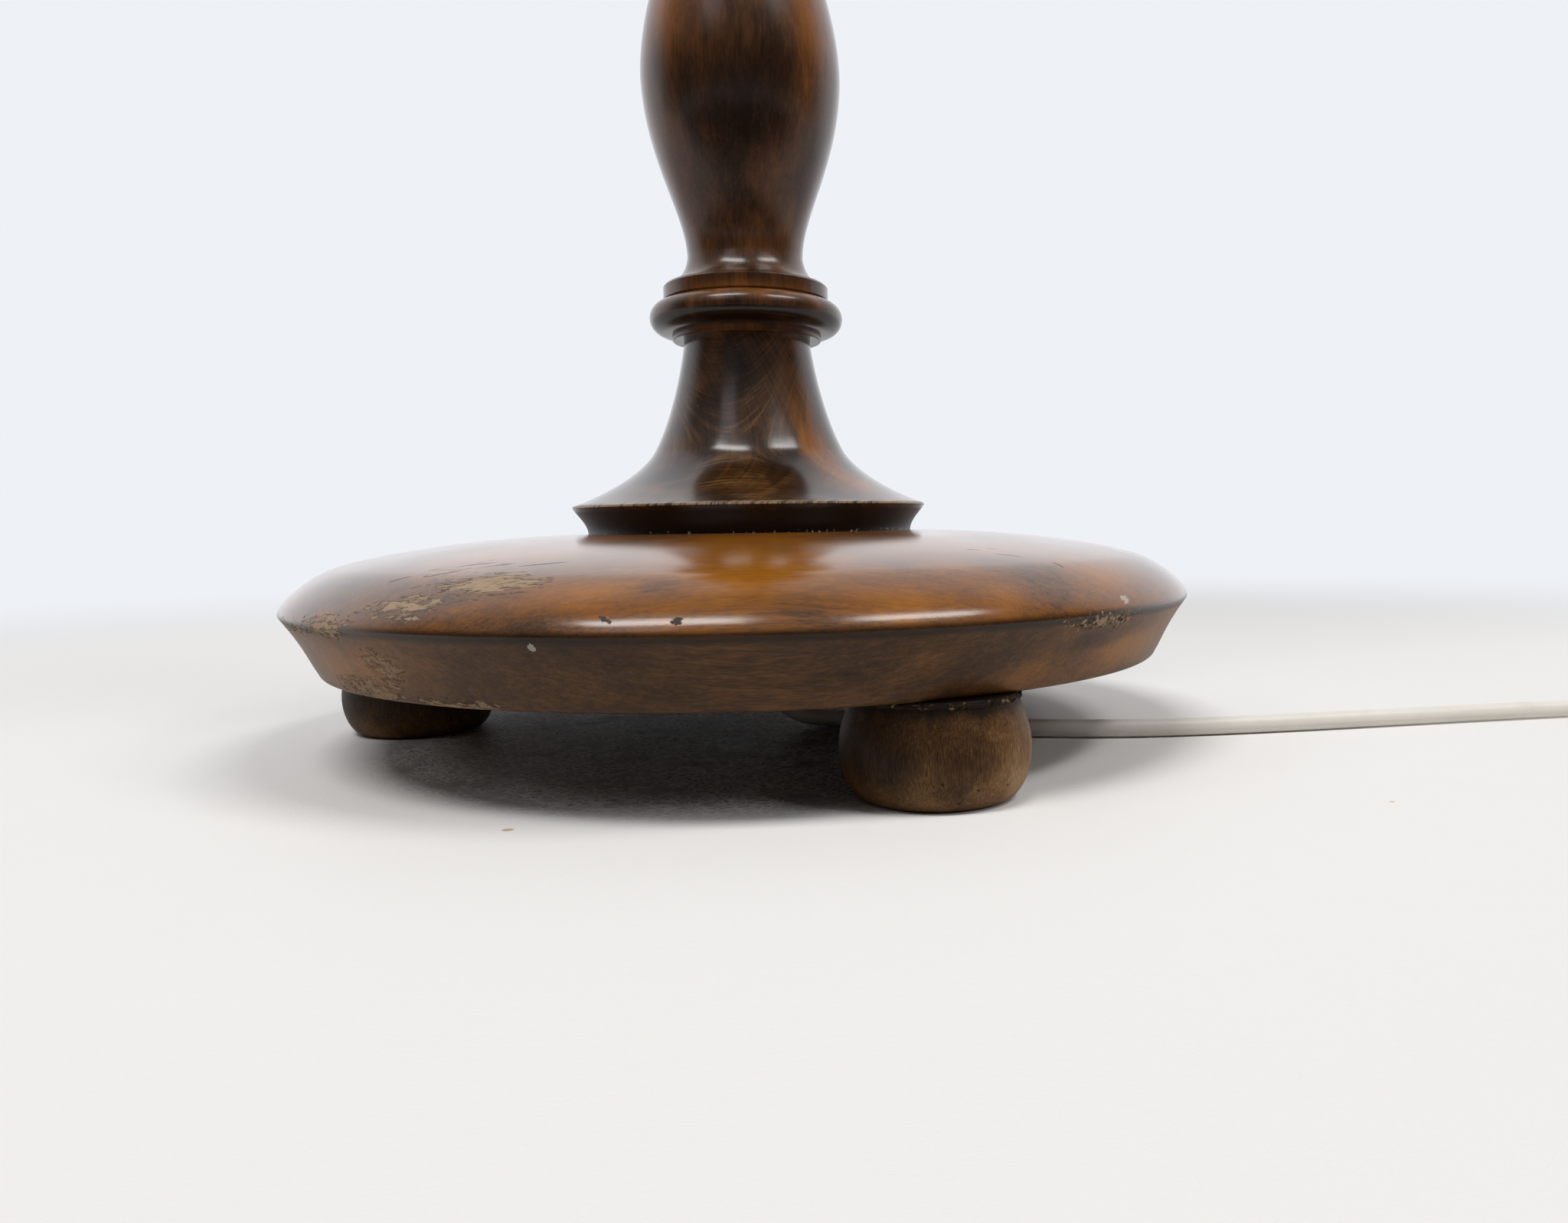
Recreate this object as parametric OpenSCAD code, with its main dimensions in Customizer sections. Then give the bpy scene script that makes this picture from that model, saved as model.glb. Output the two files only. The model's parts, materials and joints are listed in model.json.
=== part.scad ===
// Candlestick floor lamp: turned wooden sections on three bun feet, drawn together by a threaded
// steel tube, with a keyed brass lampholder, a bulb and a cone shade. Millimetres, +Z up.
// The origin is on the floor, on the axis of the column. The front foot looks towards -Y.

/* [Feet] */
// Height of a bun foot under the disc
foot_h = 28; // [20:1:44]
// Widest diameter of a bun foot
foot_d = 51.2; // [44:0.2:56]
// Diameter of the flat that a foot stands on
foot_flat_d = 37.6; // [24:0.2:41]
// Diameter of a foot's top, against the disc
foot_top_d = 44.2; // [30:0.2:44.4]
// Diameter of the circle that the three feet stand on
foot_circle_d = 243.6; // [200:0.2:246]
// Direction of the front foot, counted from +X
foot_turn = -67.4; // [-89:0.1:-46]
// Diameter of the peg on a foot
peg_d = 16; // [10:0.5:22]
// Length of the peg on a foot
peg_h = 16; // [8:0.5:24]

/* [Base disc] */
// Diameter of the disc at its rim
disc_d = 300; // [290:1:340]
// Thickness of the disc
disc_h = 41.6; // [38:0.2:50]
// Diameter of the flat underside
disc_under_d = 274; // [240:1:280]
// Height of the rim's crease above the underside
rim_h = 19.4; // [14:0.2:24]
// Width of the rounded shoulder inside the rim
shoulder_w = 17; // [8:0.5:26]
// Drop of the shoulder's inner edge below the top
shoulder_drop = 8.6; // [5:0.2:12]
// Diameter of the hollow under the disc
hollow_d = 64; // [50:1:100]
// Depth of the hollow under the disc
hollow_h = 20; // [16:0.5:24]

/* [Bell foot] */
// Diameter of the bell where it stands on the disc
bell_under_d = 112.8; // [100:0.2:118]
// Widest diameter of the bell
bell_d = 123; // [120:0.5:140]
// Height of the bell's widest edge
bell_edge_h = 8.8; // [6:0.2:12]
// Height of the bell foot
bell_h = 66.4; // [56:0.2:90]
// Diameter of the bell's neck
bell_neck_d = 44; // [40:0.5:48]
// Diameter of the tenon under the bell
bell_tenon_d = 40; // [26:0.5:48]
// Length of the tenon under the bell
bell_tenon_h = 10; // [5:0.5:13]

/* [Lower stem] */
// Length of the lower stem
lower_h = 504; // [470:1:600]
// Diameter of the thin lip under the collar
lip_d = 52; // [46:0.5:56]
// Height of the thin lip
lip_h = 2.2; // [1.5:0.1:4]
// Diameter of the round collar
collar_d = 67; // [60:0.5:74]
// Radius of the collar's rounding
collar_r = 5.4; // [4:0.1:7]
// Diameter of the flat ring on the collar
ring_d = 57.2; // [50:0.2:60]
// Height of the flat ring
ring_h = 5.2; // [3:0.1:8]
// Diameter of the neck over the collar
neck_d = 40; // [36:0.5:44]
// Widest diameter of the vase
vase_d = 68.2; // [56:0.2:80]
// Height of the vase's widest place above the joint
vase_z = 88; // [78:0.5:100]
// Diameter of the throat over the vase
throat_d = 34; // [30:0.5:40]
// Height of the throat above the joint
throat_z = 194; // [180:1:230]
// Diameter of the shaft at its lower end
shaft_d = 41; // [36:0.5:46]
// Diameter of the shaft's top, under the joint's ring
shaft_top_d = 34; // [30:0.5:38]

/* [Upper stem] */
// Length of the upper stem
upper_h = 480; // [400:1:600]
// Diameter of the ring at the joint of the two stems
knop_d = 48; // [42:0.5:56]
// Radius of that ring's rounding
knop_r = 6; // [4:0.1:7]
// Lower diameter of the upper shaft
slim_d = 35; // [32:0.5:38]
// Upper diameter of the upper shaft
slim_top_d = 28.4; // [26:0.2:32]
// Widest diameter of the small vase
bud_d = 50; // [40:0.5:60]
// Diameter of the flare under the drip pan
flare_d = 44; // [38:0.5:50]

/* [Joints in the wood] */
// Diameter of the tenons between the stems
tenon_d = 24; // [20:0.5:25]
// Length of the tenons between the stems
tenon_h = 18; // [10:0.5:24]
// Gap round a tenon or a peg, on the radius
wood_gap = 0.15; // [0.05:0.05:0.3]

/* [Candle cup] */
// Diameter of the drip pan
pan_d = 94; // [80:1:120]
// Thickness of the drip pan at its middle
pan_h = 14; // [12:0.5:18]
// Height of the candle cup
cup_h = 46; // [40:0.5:60]
// Diameter of the candle cup's lip
cup_d = 46; // [43:0.5:54]
// Diameter of the tenon that carries the pan and the cup
cup_tenon_d = 18; // [14:0.5:20]
// Length of that tenon inside the cup
cup_tenon_h = 12; // [8:0.5:16]
// Diameter of the hollow for the upper nut
cup_hollow_d = 27; // [24:0.5:28]
// Depth of the hollow for the upper nut
cup_hollow_h = 12; // [9:0.5:14]

/* [Tie tube] */
// Outside diameter of the threaded tube
tube_d = 10; // [9:0.1:10.4]
// Wall of the threaded tube
tube_wall = 1; // [0.8:0.1:1.2]
// Gap round the tube in the wood, on the radius
tube_gap = 0.4; // [0.2:0.1:0.8]
// Length of tube that shows under the lower nut
tube_tail = 3; // [2:0.5:4]
// Diameter of the lower washer
washer_d = 44; // [30:1:48]
// Thickness of the lower washer
washer_h = 2; // [1:0.1:3]
// Width of the nuts across their flats
nut_w = 17; // [15:0.5:19]
// Height of the lower nut
nut_h = 6; // [4:0.5:8]
// Diameter of the upper washer
cap_washer_d = 24; // [20:0.5:24]
// Thickness of the upper washer
cap_washer_h = 1.5; // [0.8:0.1:2]
// Height of the upper nut
cap_nut_h = 4; // [3:0.5:6]
// Diameter of the cord bush's flange
bush_d = 14; // [12.5:0.5:18]
// Thickness of the cord bush's flange
bush_h = 2.5; // [1.5:0.1:4]
// Length of the cord bush inside the tube
bush_sleeve_h = 9; // [5:0.5:16]

/* [Lampholder] */
// Outside diameter of the holder's shell
shell_d = 38; // [37.6:0.1:38.6]
// Wall of the brass shell and cap
brass_wall = 0.8; // [0.6:0.1:1]
// Height of the cap under the shell
cap_h = 22; // [21:0.5:24]
// Length of the shell
shell_h = 43; // [42:0.5:46]
// Length of shell that the cap holds
shell_in_cap = 5; // [3:0.5:6]
// Diameter of the cap's neck
cap_neck_d = 18; // [16:0.5:22]
// Height of the cap's neck
cap_neck_h = 7; // [6:0.5:8]
// Diameter of the cap's foot on the candle cup
cap_foot_d = 36; // [32:0.5:40]
// Thickness of the insulating liner
liner_wall = 0.6; // [0.4:0.1:0.8]
// Height of the porcelain core
core_h = 19; // [18:0.5:20]
// Diameter of the grub screw in the cap's neck
grub_d = 3; // [2:0.5:4]
// Inside diameter of the threaded shell for the bulb, at its crests
screw_d = 27; // [26.8:0.1:27.4]
// Length of the threaded shell
screw_h = 20; // [16:0.5:21]
// Outside diameter of the two shade rings
shade_ring_d = 54; // [46:0.5:60]
// Height of each shade ring
shade_ring_h = 5; // [4:0.5:6]
// Height of the lower shade ring above the candle cup
shade_ring_z = 41; // [38:0.5:43]

/* [Switch] */
// Diameter of the key's shaft
key_d = 4.8; // [4:0.1:5.2]
// Running gap round the key's shaft, on the radius
key_gap = 0.05; // [0.03:0.01:0.08]
// Reach of the key from the lamp's axis
key_reach = 38; // [34:0.5:44]
// Height of the key's paddle
paddle_h = 16; // [12:0.5:20]
// Thickness of the key's paddle
paddle_t = 3.2; // [2.4:0.1:4.4]
// Width of the square cam
cam_w = 8.6; // [7.5:0.1:9]

/* [Bulb] */
// Diameter of the bulb
bulb_d = 60; // [50:1:66]
// Height of the bulb's glass above its cap
bulb_h = 80; // [74:1:100]
// Wall of the bulb's glass
bulb_wall = 1; // [0.8:0.1:1.4]
// Length of the bulb's cap with its contact
bulb_cap_h = 27; // [26:0.5:30]

/* [Shade] */
// Lower diameter of the shade
shade_d = 430; // [380:5:480]
// Upper diameter of the shade
shade_top_d = 220; // [180:5:280]
// Height of the shade
shade_h = 280; // [240:5:320]
// Height of the shade's lower edge below the top of the candle cup
shade_drop = 15; // [5:1:40]
// Thickness of the shade's lining and cloth
shade_wall = 1.2; // [1:0.1:2]
// Diameter of the shade's wire
wire_d = 3.6; // [3:0.1:5]
// Reach of the flat part of the spider's arms
arm_reach = 54; // [48:1:64]
// Radius of the bend in the spider's arms
arm_bend = 14; // [10:1:20]
// Height of the edge binding
binding_h = 10; // [8:0.5:16]
// Thickness of the edge binding
binding_t = 0.5; // [0.3:0.1:0.8]

/* [Cord] */
// Diameter of the cord
cord_d = 6; // [5:0.1:6]
// Gap between the turns of the coil
coil_gap = 0.6; // [0.6:0.05:0.8]
// Gap between the two layers of the coil
layer_gap = 0.6; // [0.5:0.05:1]
// Outer radius of the coil, at the middle of the cord
coil_r = 47.4; // [47:0.2:52]

/* [Plug] */
// Width of the plug
plug_w = 35.4; // [32:0.2:38]
// Thickness of the plug
plug_t = 13.8; // [13:0.2:16]
// Length of the plug's body
plug_l = 36; // [32:1:42]
// Length of the plug's tapered tail
plug_tail_l = 25; // [20:1:30]
// Diameter of the plug's pins
pin_d = 4; // [3.8:0.1:4.4]
// Length of the plug's pins
pin_l = 19; // [17:0.5:20]
// Distance between the plug's pins
pin_pitch = 19; // [17:0.5:20]
// Length of the insulating sleeve on a pin
pin_sleeve_l = 10; // [6:0.5:12]

/* [Hidden] */

// Colours
DARK_WOOD = [0.25, 0.12, 0.05];
BROWN_WOOD = [0.36, 0.18, 0.07];
DULL_WOOD = [0.38, 0.25, 0.13];
BRASS = [0.78, 0.60, 0.28];
STEEL = [0.62, 0.62, 0.62];
WHITE_PLASTIC = [0.90, 0.90, 0.88];
PORCELAIN = [0.93, 0.92, 0.88];
LINEN = [0.88, 0.83, 0.72];

// Steps of a drawn curve, and facets of a round form
STEPS = 14;
ROUND = 96;
// A cut runs past the face that it opens by this much
PAST = 1;
// Distance between two pieces that are made apart and lie together
SEAT = 0.1;

// Heights of the stack, from the floor up
disc_z = foot_h;
disc_top = disc_z + disc_h;
bell_top = disc_top + bell_h;
lower_top = bell_top + lower_h;
upper_top = lower_top + upper_h;
pan_top = upper_top + pan_h;
cup_top = pan_top + cup_h;

// Tie tube, from under the lower nut to the neck of the holder's cap
hollow_roof = disc_z + hollow_h;
nut_z = hollow_roof - washer_h - nut_h;
tube_z = nut_z - tube_tail;
tube_top = cup_top + cap_neck_h + 1;
tube_r = tube_d / 2;
tube_bore_r = tube_r - tube_wall;
bore_r = tube_r + tube_gap;
cup_floor = cup_top - cup_hollow_h;
cord_r = cord_d / 2;
exit_z = tube_z - bush_h;

// Lampholder, with heights above the top of the candle cup
shell_r = shell_d / 2;
shell_z = cap_h - shell_in_cap;
shell_top = shell_z + shell_h;
liner_r = shell_r - brass_wall - SEAT;
core_r = liner_r - liner_wall - SEAT;
core_z = shell_z + 2;
core_top = core_z + core_h;
chamber_w = 15;
chamber_l = 14;
chamber_roof = 3;
key_z = core_top - chamber_roof - chamber_w / 2;
key_r = key_d / 2;
key_tip = chamber_l / 2 + 4;
hole_r = key_r + 0.8;
cam_l = 6;
cam_corner_r = cam_w * 0.62;
leaf_t = 0.4;
terminal_y = (chamber_w / 2 + core_r) / 2;
terminal_r = 1.6;
terminal_head_r = 2.6;
terminal_head_h = 2;
screw_pitch = 3.6;
rib_step = screw_pitch / 8;
screw_depth = 1.1;
screw_wall = 0.5;
contact_gap = 0.4;

// Bulb, with heights above the top of the candle cup
tip_z = core_top + 2.6;
insulator_h = 4;
tip_h = 2;
bulb_cap_top = tip_z + bulb_cap_h;
bulb_r = bulb_d / 2;
bulb_wide_z = bulb_cap_top + bulb_h - bulb_r;
bulb_cap_r = screw_d / 2 - contact_gap;
bulb_cap_wall = 0.4;
bulb_foot_z = tip_z + insulator_h;
collar_h = 4;
bulb_neck_z = bulb_cap_top - collar_h + 0.5;
bulb_neck_r = bulb_cap_r - bulb_cap_wall - SEAT;

// Shade, with heights from the floor
shade_z = cup_top - shade_drop;
shade_slope = (shade_d - shade_top_d) / 2 / shade_h;
fitter_z = cup_top + shade_ring_z + shade_ring_h;
fitter_h = 1.6;
ring_bore_r = shell_r + 0.2;
wire_r = wire_d / 2;
wire_inset = shade_wall + wire_r + 0.2;
top_ring_z = shade_h - wire_r - 1;
arm_turn = foot_turn + 60;

// Where the free cord lies: down out of the bush, and along the floor to the right
floor_z = 3.1;
CORD_ROUTE = [
    [0, 0, exit_z], [0, 0, 28.5], [0.8, -0.3, 22], [3.2, -1.1, 15.8], [6.9, -2.4, 10.5],
    [11.8, -4.1, 6.4], [17.5, -6.1, 3.9], [23.6, -8.2, floor_z], [38, -14.8, floor_z],
    [51, -22, floor_z], [64, -29.2, floor_z], [77, -35.8, floor_z], [90, -41.2, floor_z],
    [104, -45.4, floor_z], [119, -48, floor_z], [134, -49.4, floor_z], [149, -49.8, floor_z],
    [164, -49.6, floor_z], [179, -49, floor_z], [194, -48.2, floor_z], [209, -47.2, floor_z],
    [224, -46.2, floor_z], [239, -45.2, floor_z], [254, -44.3, floor_z], [269, -43.5, floor_z],
    [284, -42.8, floor_z], [299, -42.2, floor_z], [312, -42, floor_z], [324, -42, floor_z],
];
coil_start = CORD_ROUTE[len(CORD_ROUTE) - 1];
coil_x = coil_start.x + cord_d;
coil_y = coil_start.y - coil_r;
coil_pitch = cord_d + coil_gap;
coil_in_turns = 3.5;
coil_out_turns = 3.25;
coil_inner_r = coil_r - coil_pitch * coil_in_turns;
COIL_STEPS = 24;
coil_last_r = coil_inner_r + coil_pitch * coil_out_turns;
tail_level = 24;
tail_down = 24;
tail_x = coil_x + coil_last_r;
tail_end_y = coil_y - tail_level - tail_down - cord_d;
plug_z = plug_t / 2;
plug_y = tail_end_y - plug_tail_l;
pin_root = 8;
pin_sleeve_r = pin_d / 2 - 0.2;
pin_shank_r = pin_sleeve_r - 0.4;

// A smooth curve from a to d that sets out towards b and comes in from c
function curve(a, b, c, d, n = STEPS) =
    [for (i = [0:n]) let (t = i / n, s = 1 - t)
        s * s * s * a + 3 * s * s * t * b + 3 * s * t * t * c + t * t * t * d];

// A round arc about [x, z]
function arc(x, z, r, from, to, n = STEPS) =
    [for (i = [0:n]) let (a = from + (to - from) * i / n) [x + r * cos(a), z + r * sin(a)]];

// A half-round ring of diameter d, with its middle at height z
function bead(d, z, r) = arc(d / 2 - r, z, r, -90, 90);

// A profile with its heights raised by z
function raised(points, z) = [for (p = points) [p.x, p.y + z]];

function unit(v) = v / norm(v);

// Directions along a line of points, and a normal carried along them without twisting
function directions(p) =
    [for (i = [0:len(p) - 1]) unit(p[min(i + 1, len(p) - 1)] - p[max(i - 1, 0)])];
function square_to(t) = unit(cross(t, abs(t.y) < 0.9 ? [0, 1, 0] : [1, 0, 0]));
function carried(t) =
    [for (i = 0, n = square_to(t[0]);
          i < len(t);
          i = i + 1, n = i < len(t) ? unit(n - (n * t[i]) * t[i]) : n) n];

// Points of a round tube about a line, ring by ring
function rings(p, r, sides) =
    let (t = directions(p), n = carried(t))
    [for (i = [0:len(p) - 1], k = [0:sides - 1])
        let (a = 360 * k / sides)
        p[i] + r * (cos(a) * n[i] + sin(a) * cross(t[i], n[i]))];

// Where the cord lies in the coil after u turns: in, up half a turn, and out again
function coil_radius(u) =
    u < coil_in_turns ? coil_r - coil_pitch * u
    : u > coil_in_turns + 0.5 ? coil_inner_r + coil_pitch * (u - coil_in_turns - 0.5)
    : coil_inner_r - coil_pitch / 8 + 2 * coil_pitch * pow(u - coil_in_turns - 0.25, 2);
function eased(t) = t <= 0 ? 0 : t >= 1 ? 1 : (1 - cos(180 * t)) / 2;
function coil_height(u) = floor_z + (cord_d + layer_gap) * eased((u - coil_in_turns) / 0.5);
function coil_point(u) =
    let (a = 90 - 360 * u)
    [coil_x + coil_radius(u) * cos(a), coil_y + coil_radius(u) * sin(a), coil_height(u)];
coil_turns = coil_in_turns + 0.5 + coil_out_turns;
coil_last_z = coil_height(coil_turns);
function coil_line() = concat(
    [coil_start],
    [for (i = [0:COIL_STEPS * coil_turns]) coil_point(i / COIL_STEPS)],
    [for (s = [cord_d:cord_d:tail_level + tail_down + cord_d])
        [tail_x, coil_y - s,
         coil_last_z + (plug_z - coil_last_z) * eased((s - tail_level) / tail_down)]]
);
function line_length(p) = len(p) < 2 ? 0
    : [for (i = 1, s = 0; i <= len(p); s = s + (i < len(p) ? norm(p[i] - p[i - 1]) : 0),
            i = i + 1) s][len(p) - 1];
function least_gap(p) = min([for (i = [0:len(p) - 1], j = [i + COIL_STEPS / 3:1:len(p) - 1])
    norm(p[i] - p[j])]) - cord_d;

echo(coil_least_gap_mm = least_gap(coil_line()));
echo(free_cord_length_mm = line_length(concat(CORD_ROUTE, coil_line())));

// A tube swept along a line of points, closed at both ends
module swept(p, r, sides) {
    last = (len(p) - 1) * sides;
    walls = [for (i = [0:len(p) - 2], k = [0:sides - 1])
        let (a = i * sides + k, b = i * sides + (k + 1) % sides)
        each [[a, a + sides, b + sides], [a, b + sides, b]]];
    ends = [for (k = [1:sides - 2])
        each [[0, k, k + 1], [last, last + k + 1, last + k]]];
    polyhedron(points = rings(p, r, sides), faces = concat(walls, ends), convexity = 10);
}

// A piece turned about the column, from its outline in [radius, height]
module turned(outline) {
    rotate_extrude($fn = ROUND) polygon(outline);
}

module ring(outer_r, inner_r, h, z) {
    turned([[inner_r, z], [outer_r, z], [outer_r, z + h], [inner_r, z + h]]);
}

module bored_nut(w, h, z) {
    translate([0, 0, z])
    difference() {
        cylinder(d = w / cos(30), h = h, $fn = 6);
        translate([0, 0, -PAST]) cylinder(r = tube_r + SEAT / 2, h = h + 2 * PAST, $fn = ROUND);
    }
}

// ---- Feet and base ----

module foot(turn) {
    wide_z = foot_h * 13 / 28;
    color(DULL_WOOD)
    rotate(turn) translate([foot_circle_d / 2, 0, 0])
    turned(concat(
        [[0, 0]],
        curve([foot_flat_d / 2, 0], [foot_flat_d / 2 + 3.7, 0.2],
              [foot_d / 2, wide_z / 2], [foot_d / 2, wide_z]),
        curve([foot_d / 2, wide_z], [foot_d / 2, wide_z + 6],
              [foot_top_d / 2 + 1.5, foot_h - 6], [foot_top_d / 2, foot_h - 0.5]),
        [[foot_top_d / 2 - 0.5, foot_h], [peg_d / 2, foot_h],
         [peg_d / 2, foot_h + peg_h - 1], [peg_d / 2 - 1, foot_h + peg_h],
         [0, foot_h + peg_h]]
    ));
}

module foot_front() { foot(foot_turn); }
module foot_back() { foot(foot_turn + 120); }
module foot_left() { foot(foot_turn + 240); }

module base_disc() {
    r = disc_d / 2;
    under_r = disc_under_d / 2;
    shoulder = [r - shoulder_w, disc_h - shoulder_drop];
    flat_r = bell_under_d / 2 + 0.6;
    socket_r = bell_tenon_d / 2 + wood_gap;
    socket_z = disc_h - bell_tenon_h - 0.5;
    color(BROWN_WOOD)
    difference() {
        turned(raised(concat(
            [[bore_r, hollow_h], [hollow_d / 2, hollow_h], [hollow_d / 2, 0]],
            curve([under_r, 0], [under_r + 1.7, 0], [under_r + 2.7, 0.5],
                  [under_r + 3.2, 2], 6),
            curve([under_r + 3.2, 2], [under_r + 5.5, 6], [r - 6.5, rim_h - 9.4],
                  [r - 0.2, rim_h - 0.4]),
            curve([r, rim_h], [r, rim_h + 0.45 * (shoulder.y - rim_h)],
                  [shoulder.x + 0.6 * shoulder_w, shoulder.y - 0.17 * shoulder_w], shoulder),
            curve(shoulder, [shoulder.x - 15, shoulder.y + 4.4],
                  [flat_r + 31, disc_h - 0.4], [flat_r, disc_h]),
            [[socket_r, disc_h], [socket_r, socket_z], [bore_r, socket_z]]
        ), disc_z));
        for (k = [0:2])
            rotate(foot_turn + 120 * k) translate([foot_circle_d / 2, 0, disc_z - PAST])
            cylinder(r = peg_d / 2 + wood_gap, h = peg_h + 0.5 + PAST, $fn = ROUND);
    }
}

// ---- Turned column ----

module bell_foot() {
    neck_r = bell_neck_d / 2;
    edge = [bell_d / 2, bell_edge_h];
    waist = [neck_r + 11.2, bell_edge_h + 19.1];
    color(DARK_WOOD)
    turned(raised(concat(
        [[bore_r, -bell_tenon_h], [bell_tenon_d / 2 - 1, -bell_tenon_h],
         [bell_tenon_d / 2, 1 - bell_tenon_h], [bell_tenon_d / 2, 0]],
        curve([bell_under_d / 2, 0], [bell_under_d / 2 + 0.2, 3.4], [edge.x - 2, edge.y - 3], edge),
        curve([edge.x - 0.2, edge.y + 0.6], [edge.x - 13, edge.y + 5.1],
              [waist.x + 3.8, waist.y - 6.5], waist),
        curve(waist, [waist.x - 4.2, waist.y + 7.5], [neck_r + 2.6, bell_h - 18],
              [neck_r, bell_h - 1]),
        [[neck_r, bell_h], [tenon_d / 2, bell_h], [tenon_d / 2, bell_h + tenon_h - 1],
         [tenon_d / 2 - 1, bell_h + tenon_h], [bore_r, bell_h + tenon_h]]
    ), disc_top));
}

// The hole in a section's foot that a tenon comes up into
function socket(d, h) = [[bore_r, h + 0.5], [d / 2 + wood_gap, h + 0.5], [d / 2 + wood_gap, 0]];

// The tenon on a section's head
function tenon(d, h, z) = [[d / 2, z], [d / 2, z + h - 1], [d / 2 - 1, z + h], [bore_r, z + h]];

module lower_stem() {
    collar_z = lip_h + collar_r;
    ring_z = collar_z + collar_r + 0.8;
    neck = [neck_d / 2, ring_z + ring_h + 9.7];
    wide = [vase_d / 2, vase_z];
    throat = [throat_d / 2, throat_z];
    shaft_z = throat_z + 18;
    head_z = lower_h - 34;
    color(DARK_WOOD)
    turned(raised(concat(
        socket(tenon_d, tenon_h),
        [[lip_d / 2 - 0.4, 0], [lip_d / 2, 0.4], [lip_d / 2, lip_h - 0.2]],
        arc(collar_d / 2 - collar_r, collar_z, collar_r, -80, 80),
        [[ring_d / 2 - 0.6, ring_z - 0.5], [ring_d / 2, ring_z],
         [ring_d / 2, ring_z + ring_h - 1], [ring_d / 2 - 0.7, ring_z + ring_h - 0.2],
         [neck.x + 5, ring_z + ring_h + 0.3]],
        curve([neck.x + 5, ring_z + ring_h + 0.6], [neck.x + 2.3, neck.y - 7.5],
              [neck.x + 0.4, neck.y - 4], neck, 8),
        curve(neck, [neck.x + 0.2, neck.y + 15.5], [wide.x - 0.9, wide.y - 27], wide),
        curve(wide, [wide.x, wide.y + 28], [throat.x + 2.5, throat.y - 62], throat),
        [[throat.x + 2, throat_z + 1.5], [throat.x + 2, throat_z + 3]],
        bead(throat_d + 10, throat_z + 7.5, 4),
        [[shaft_d / 2 - 2, throat_z + 12.5]],
        curve([shaft_d / 2 - 1, shaft_z], [shaft_d / 2 + 2, shaft_z + 50],
              [shaft_d / 2 - 1, head_z - 90], [shaft_top_d / 2, head_z]),
        bead(shaft_top_d + 7, head_z + 5, 3.5),
        [[shaft_top_d / 2 + 1, head_z + 10], [shaft_top_d / 2 + 1, head_z + 14]],
        curve([shaft_top_d / 2 + 1, head_z + 14], [shaft_top_d / 2 + 1, head_z + 20],
              [knop_d / 2 - 6, head_z + 26], [knop_d / 2 - 4, lower_h - 3], 8),
        [[knop_d / 2 - 4, lower_h]],
        tenon(tenon_d, tenon_h, lower_h)
    ), bell_top));
}

module upper_stem() {
    knop_z = knop_r + 2;
    low = [slim_d / 2 - 1.5, knop_z + knop_r + 14];
    bud_z = upper_h - 72;
    head = [slim_top_d / 2, bud_z - 56];
    color(DARK_WOOD)
    turned(raised(concat(
        socket(tenon_d, tenon_h),
        [[knop_d / 2 - 4.5, 0], [knop_d / 2 - 4.5, 1.5]],
        arc(knop_d / 2 - knop_r, knop_z, knop_r, -80, 80),
        [[slim_d / 2 + 1.5, knop_z + knop_r + 1], [slim_d / 2 + 1.5, knop_z + knop_r + 4]],
        curve([slim_d / 2 + 1.5, knop_z + knop_r + 4], [slim_d / 2 - 0.5, low.y - 8],
              [low.x, low.y - 5], low, 8),
        curve(low, [slim_d / 2 + 1.8, low.y + 70], [slim_d / 2, head.y - 150], head),
        bead(slim_top_d + 9, head.y + 6, 4),
        [[slim_top_d / 2 + 0.6, head.y + 11], [slim_top_d / 2 + 0.6, head.y + 14]],
        curve([slim_top_d / 2 - 0.8, head.y + 16], [slim_top_d / 2 - 0.8, bud_z - 24],
              [bud_d / 2 - 0.5, bud_z - 20], [bud_d / 2, bud_z]),
        curve([bud_d / 2, bud_z], [bud_d / 2, bud_z + 24], [slim_top_d / 2 - 1.8, bud_z + 26],
              [slim_top_d / 2 - 1.8, bud_z + 48]),
        curve([slim_top_d / 2 - 1.8, bud_z + 50], [slim_top_d / 2 - 1.8, upper_h - 10],
              [flare_d / 2 - 6, upper_h - 6], [flare_d / 2, upper_h - 3], 8),
        [[flare_d / 2, upper_h]],
        tenon(cup_tenon_d, pan_h + cup_tenon_h, upper_h)
    ), lower_top));
}

module drip_pan() {
    r = pan_d / 2;
    hub_r = cup_d / 2 - 3;
    color(DARK_WOOD)
    turned(raised(concat(
        [[cup_tenon_d / 2 + wood_gap, 0]],
        curve([flare_d / 2 - 1, 0], [r - 13, 0.5], [r - 5, 3], [r - 1.4, 6.6], 10),
        arc(r - 2.2, 8.4, 2.2, -50, 110, 8),
        curve([r - 4.5, 9.8], [r - 12, 8.8], [hub_r + 8, 8.8], [hub_r + 1, pan_h - 3], 8),
        [[hub_r, pan_h], [cup_tenon_d / 2 + wood_gap, pan_h]]
    ), upper_top));
}

module candle_cup() {
    waist_r = cup_d / 2 - 7;
    color(DARK_WOOD)
    turned(raised(concat(
        socket(cup_tenon_d, cup_tenon_h),
        [[cup_d / 2 - 4, 0], [cup_d / 2 - 3, 1.5], [cup_d / 2 - 3, 4], [waist_r + 1.5, 6]],
        curve([waist_r + 1, 7.5], [waist_r - 1, 16], [waist_r - 0.5, cup_h - 20],
              [cup_d / 2 - 2, cup_h - 9], 10),
        arc(cup_d / 2 - 3.2, cup_h - 5, 3.2, -50, 70, 10),
        [[cup_d / 2 - 3, cup_h], [cup_hollow_d / 2, cup_h],
         [cup_hollow_d / 2, cup_h - cup_hollow_h], [bore_r, cup_h - cup_hollow_h]]
    ), pan_top));
}

// ---- Tie tube and its fastenings ----

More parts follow.
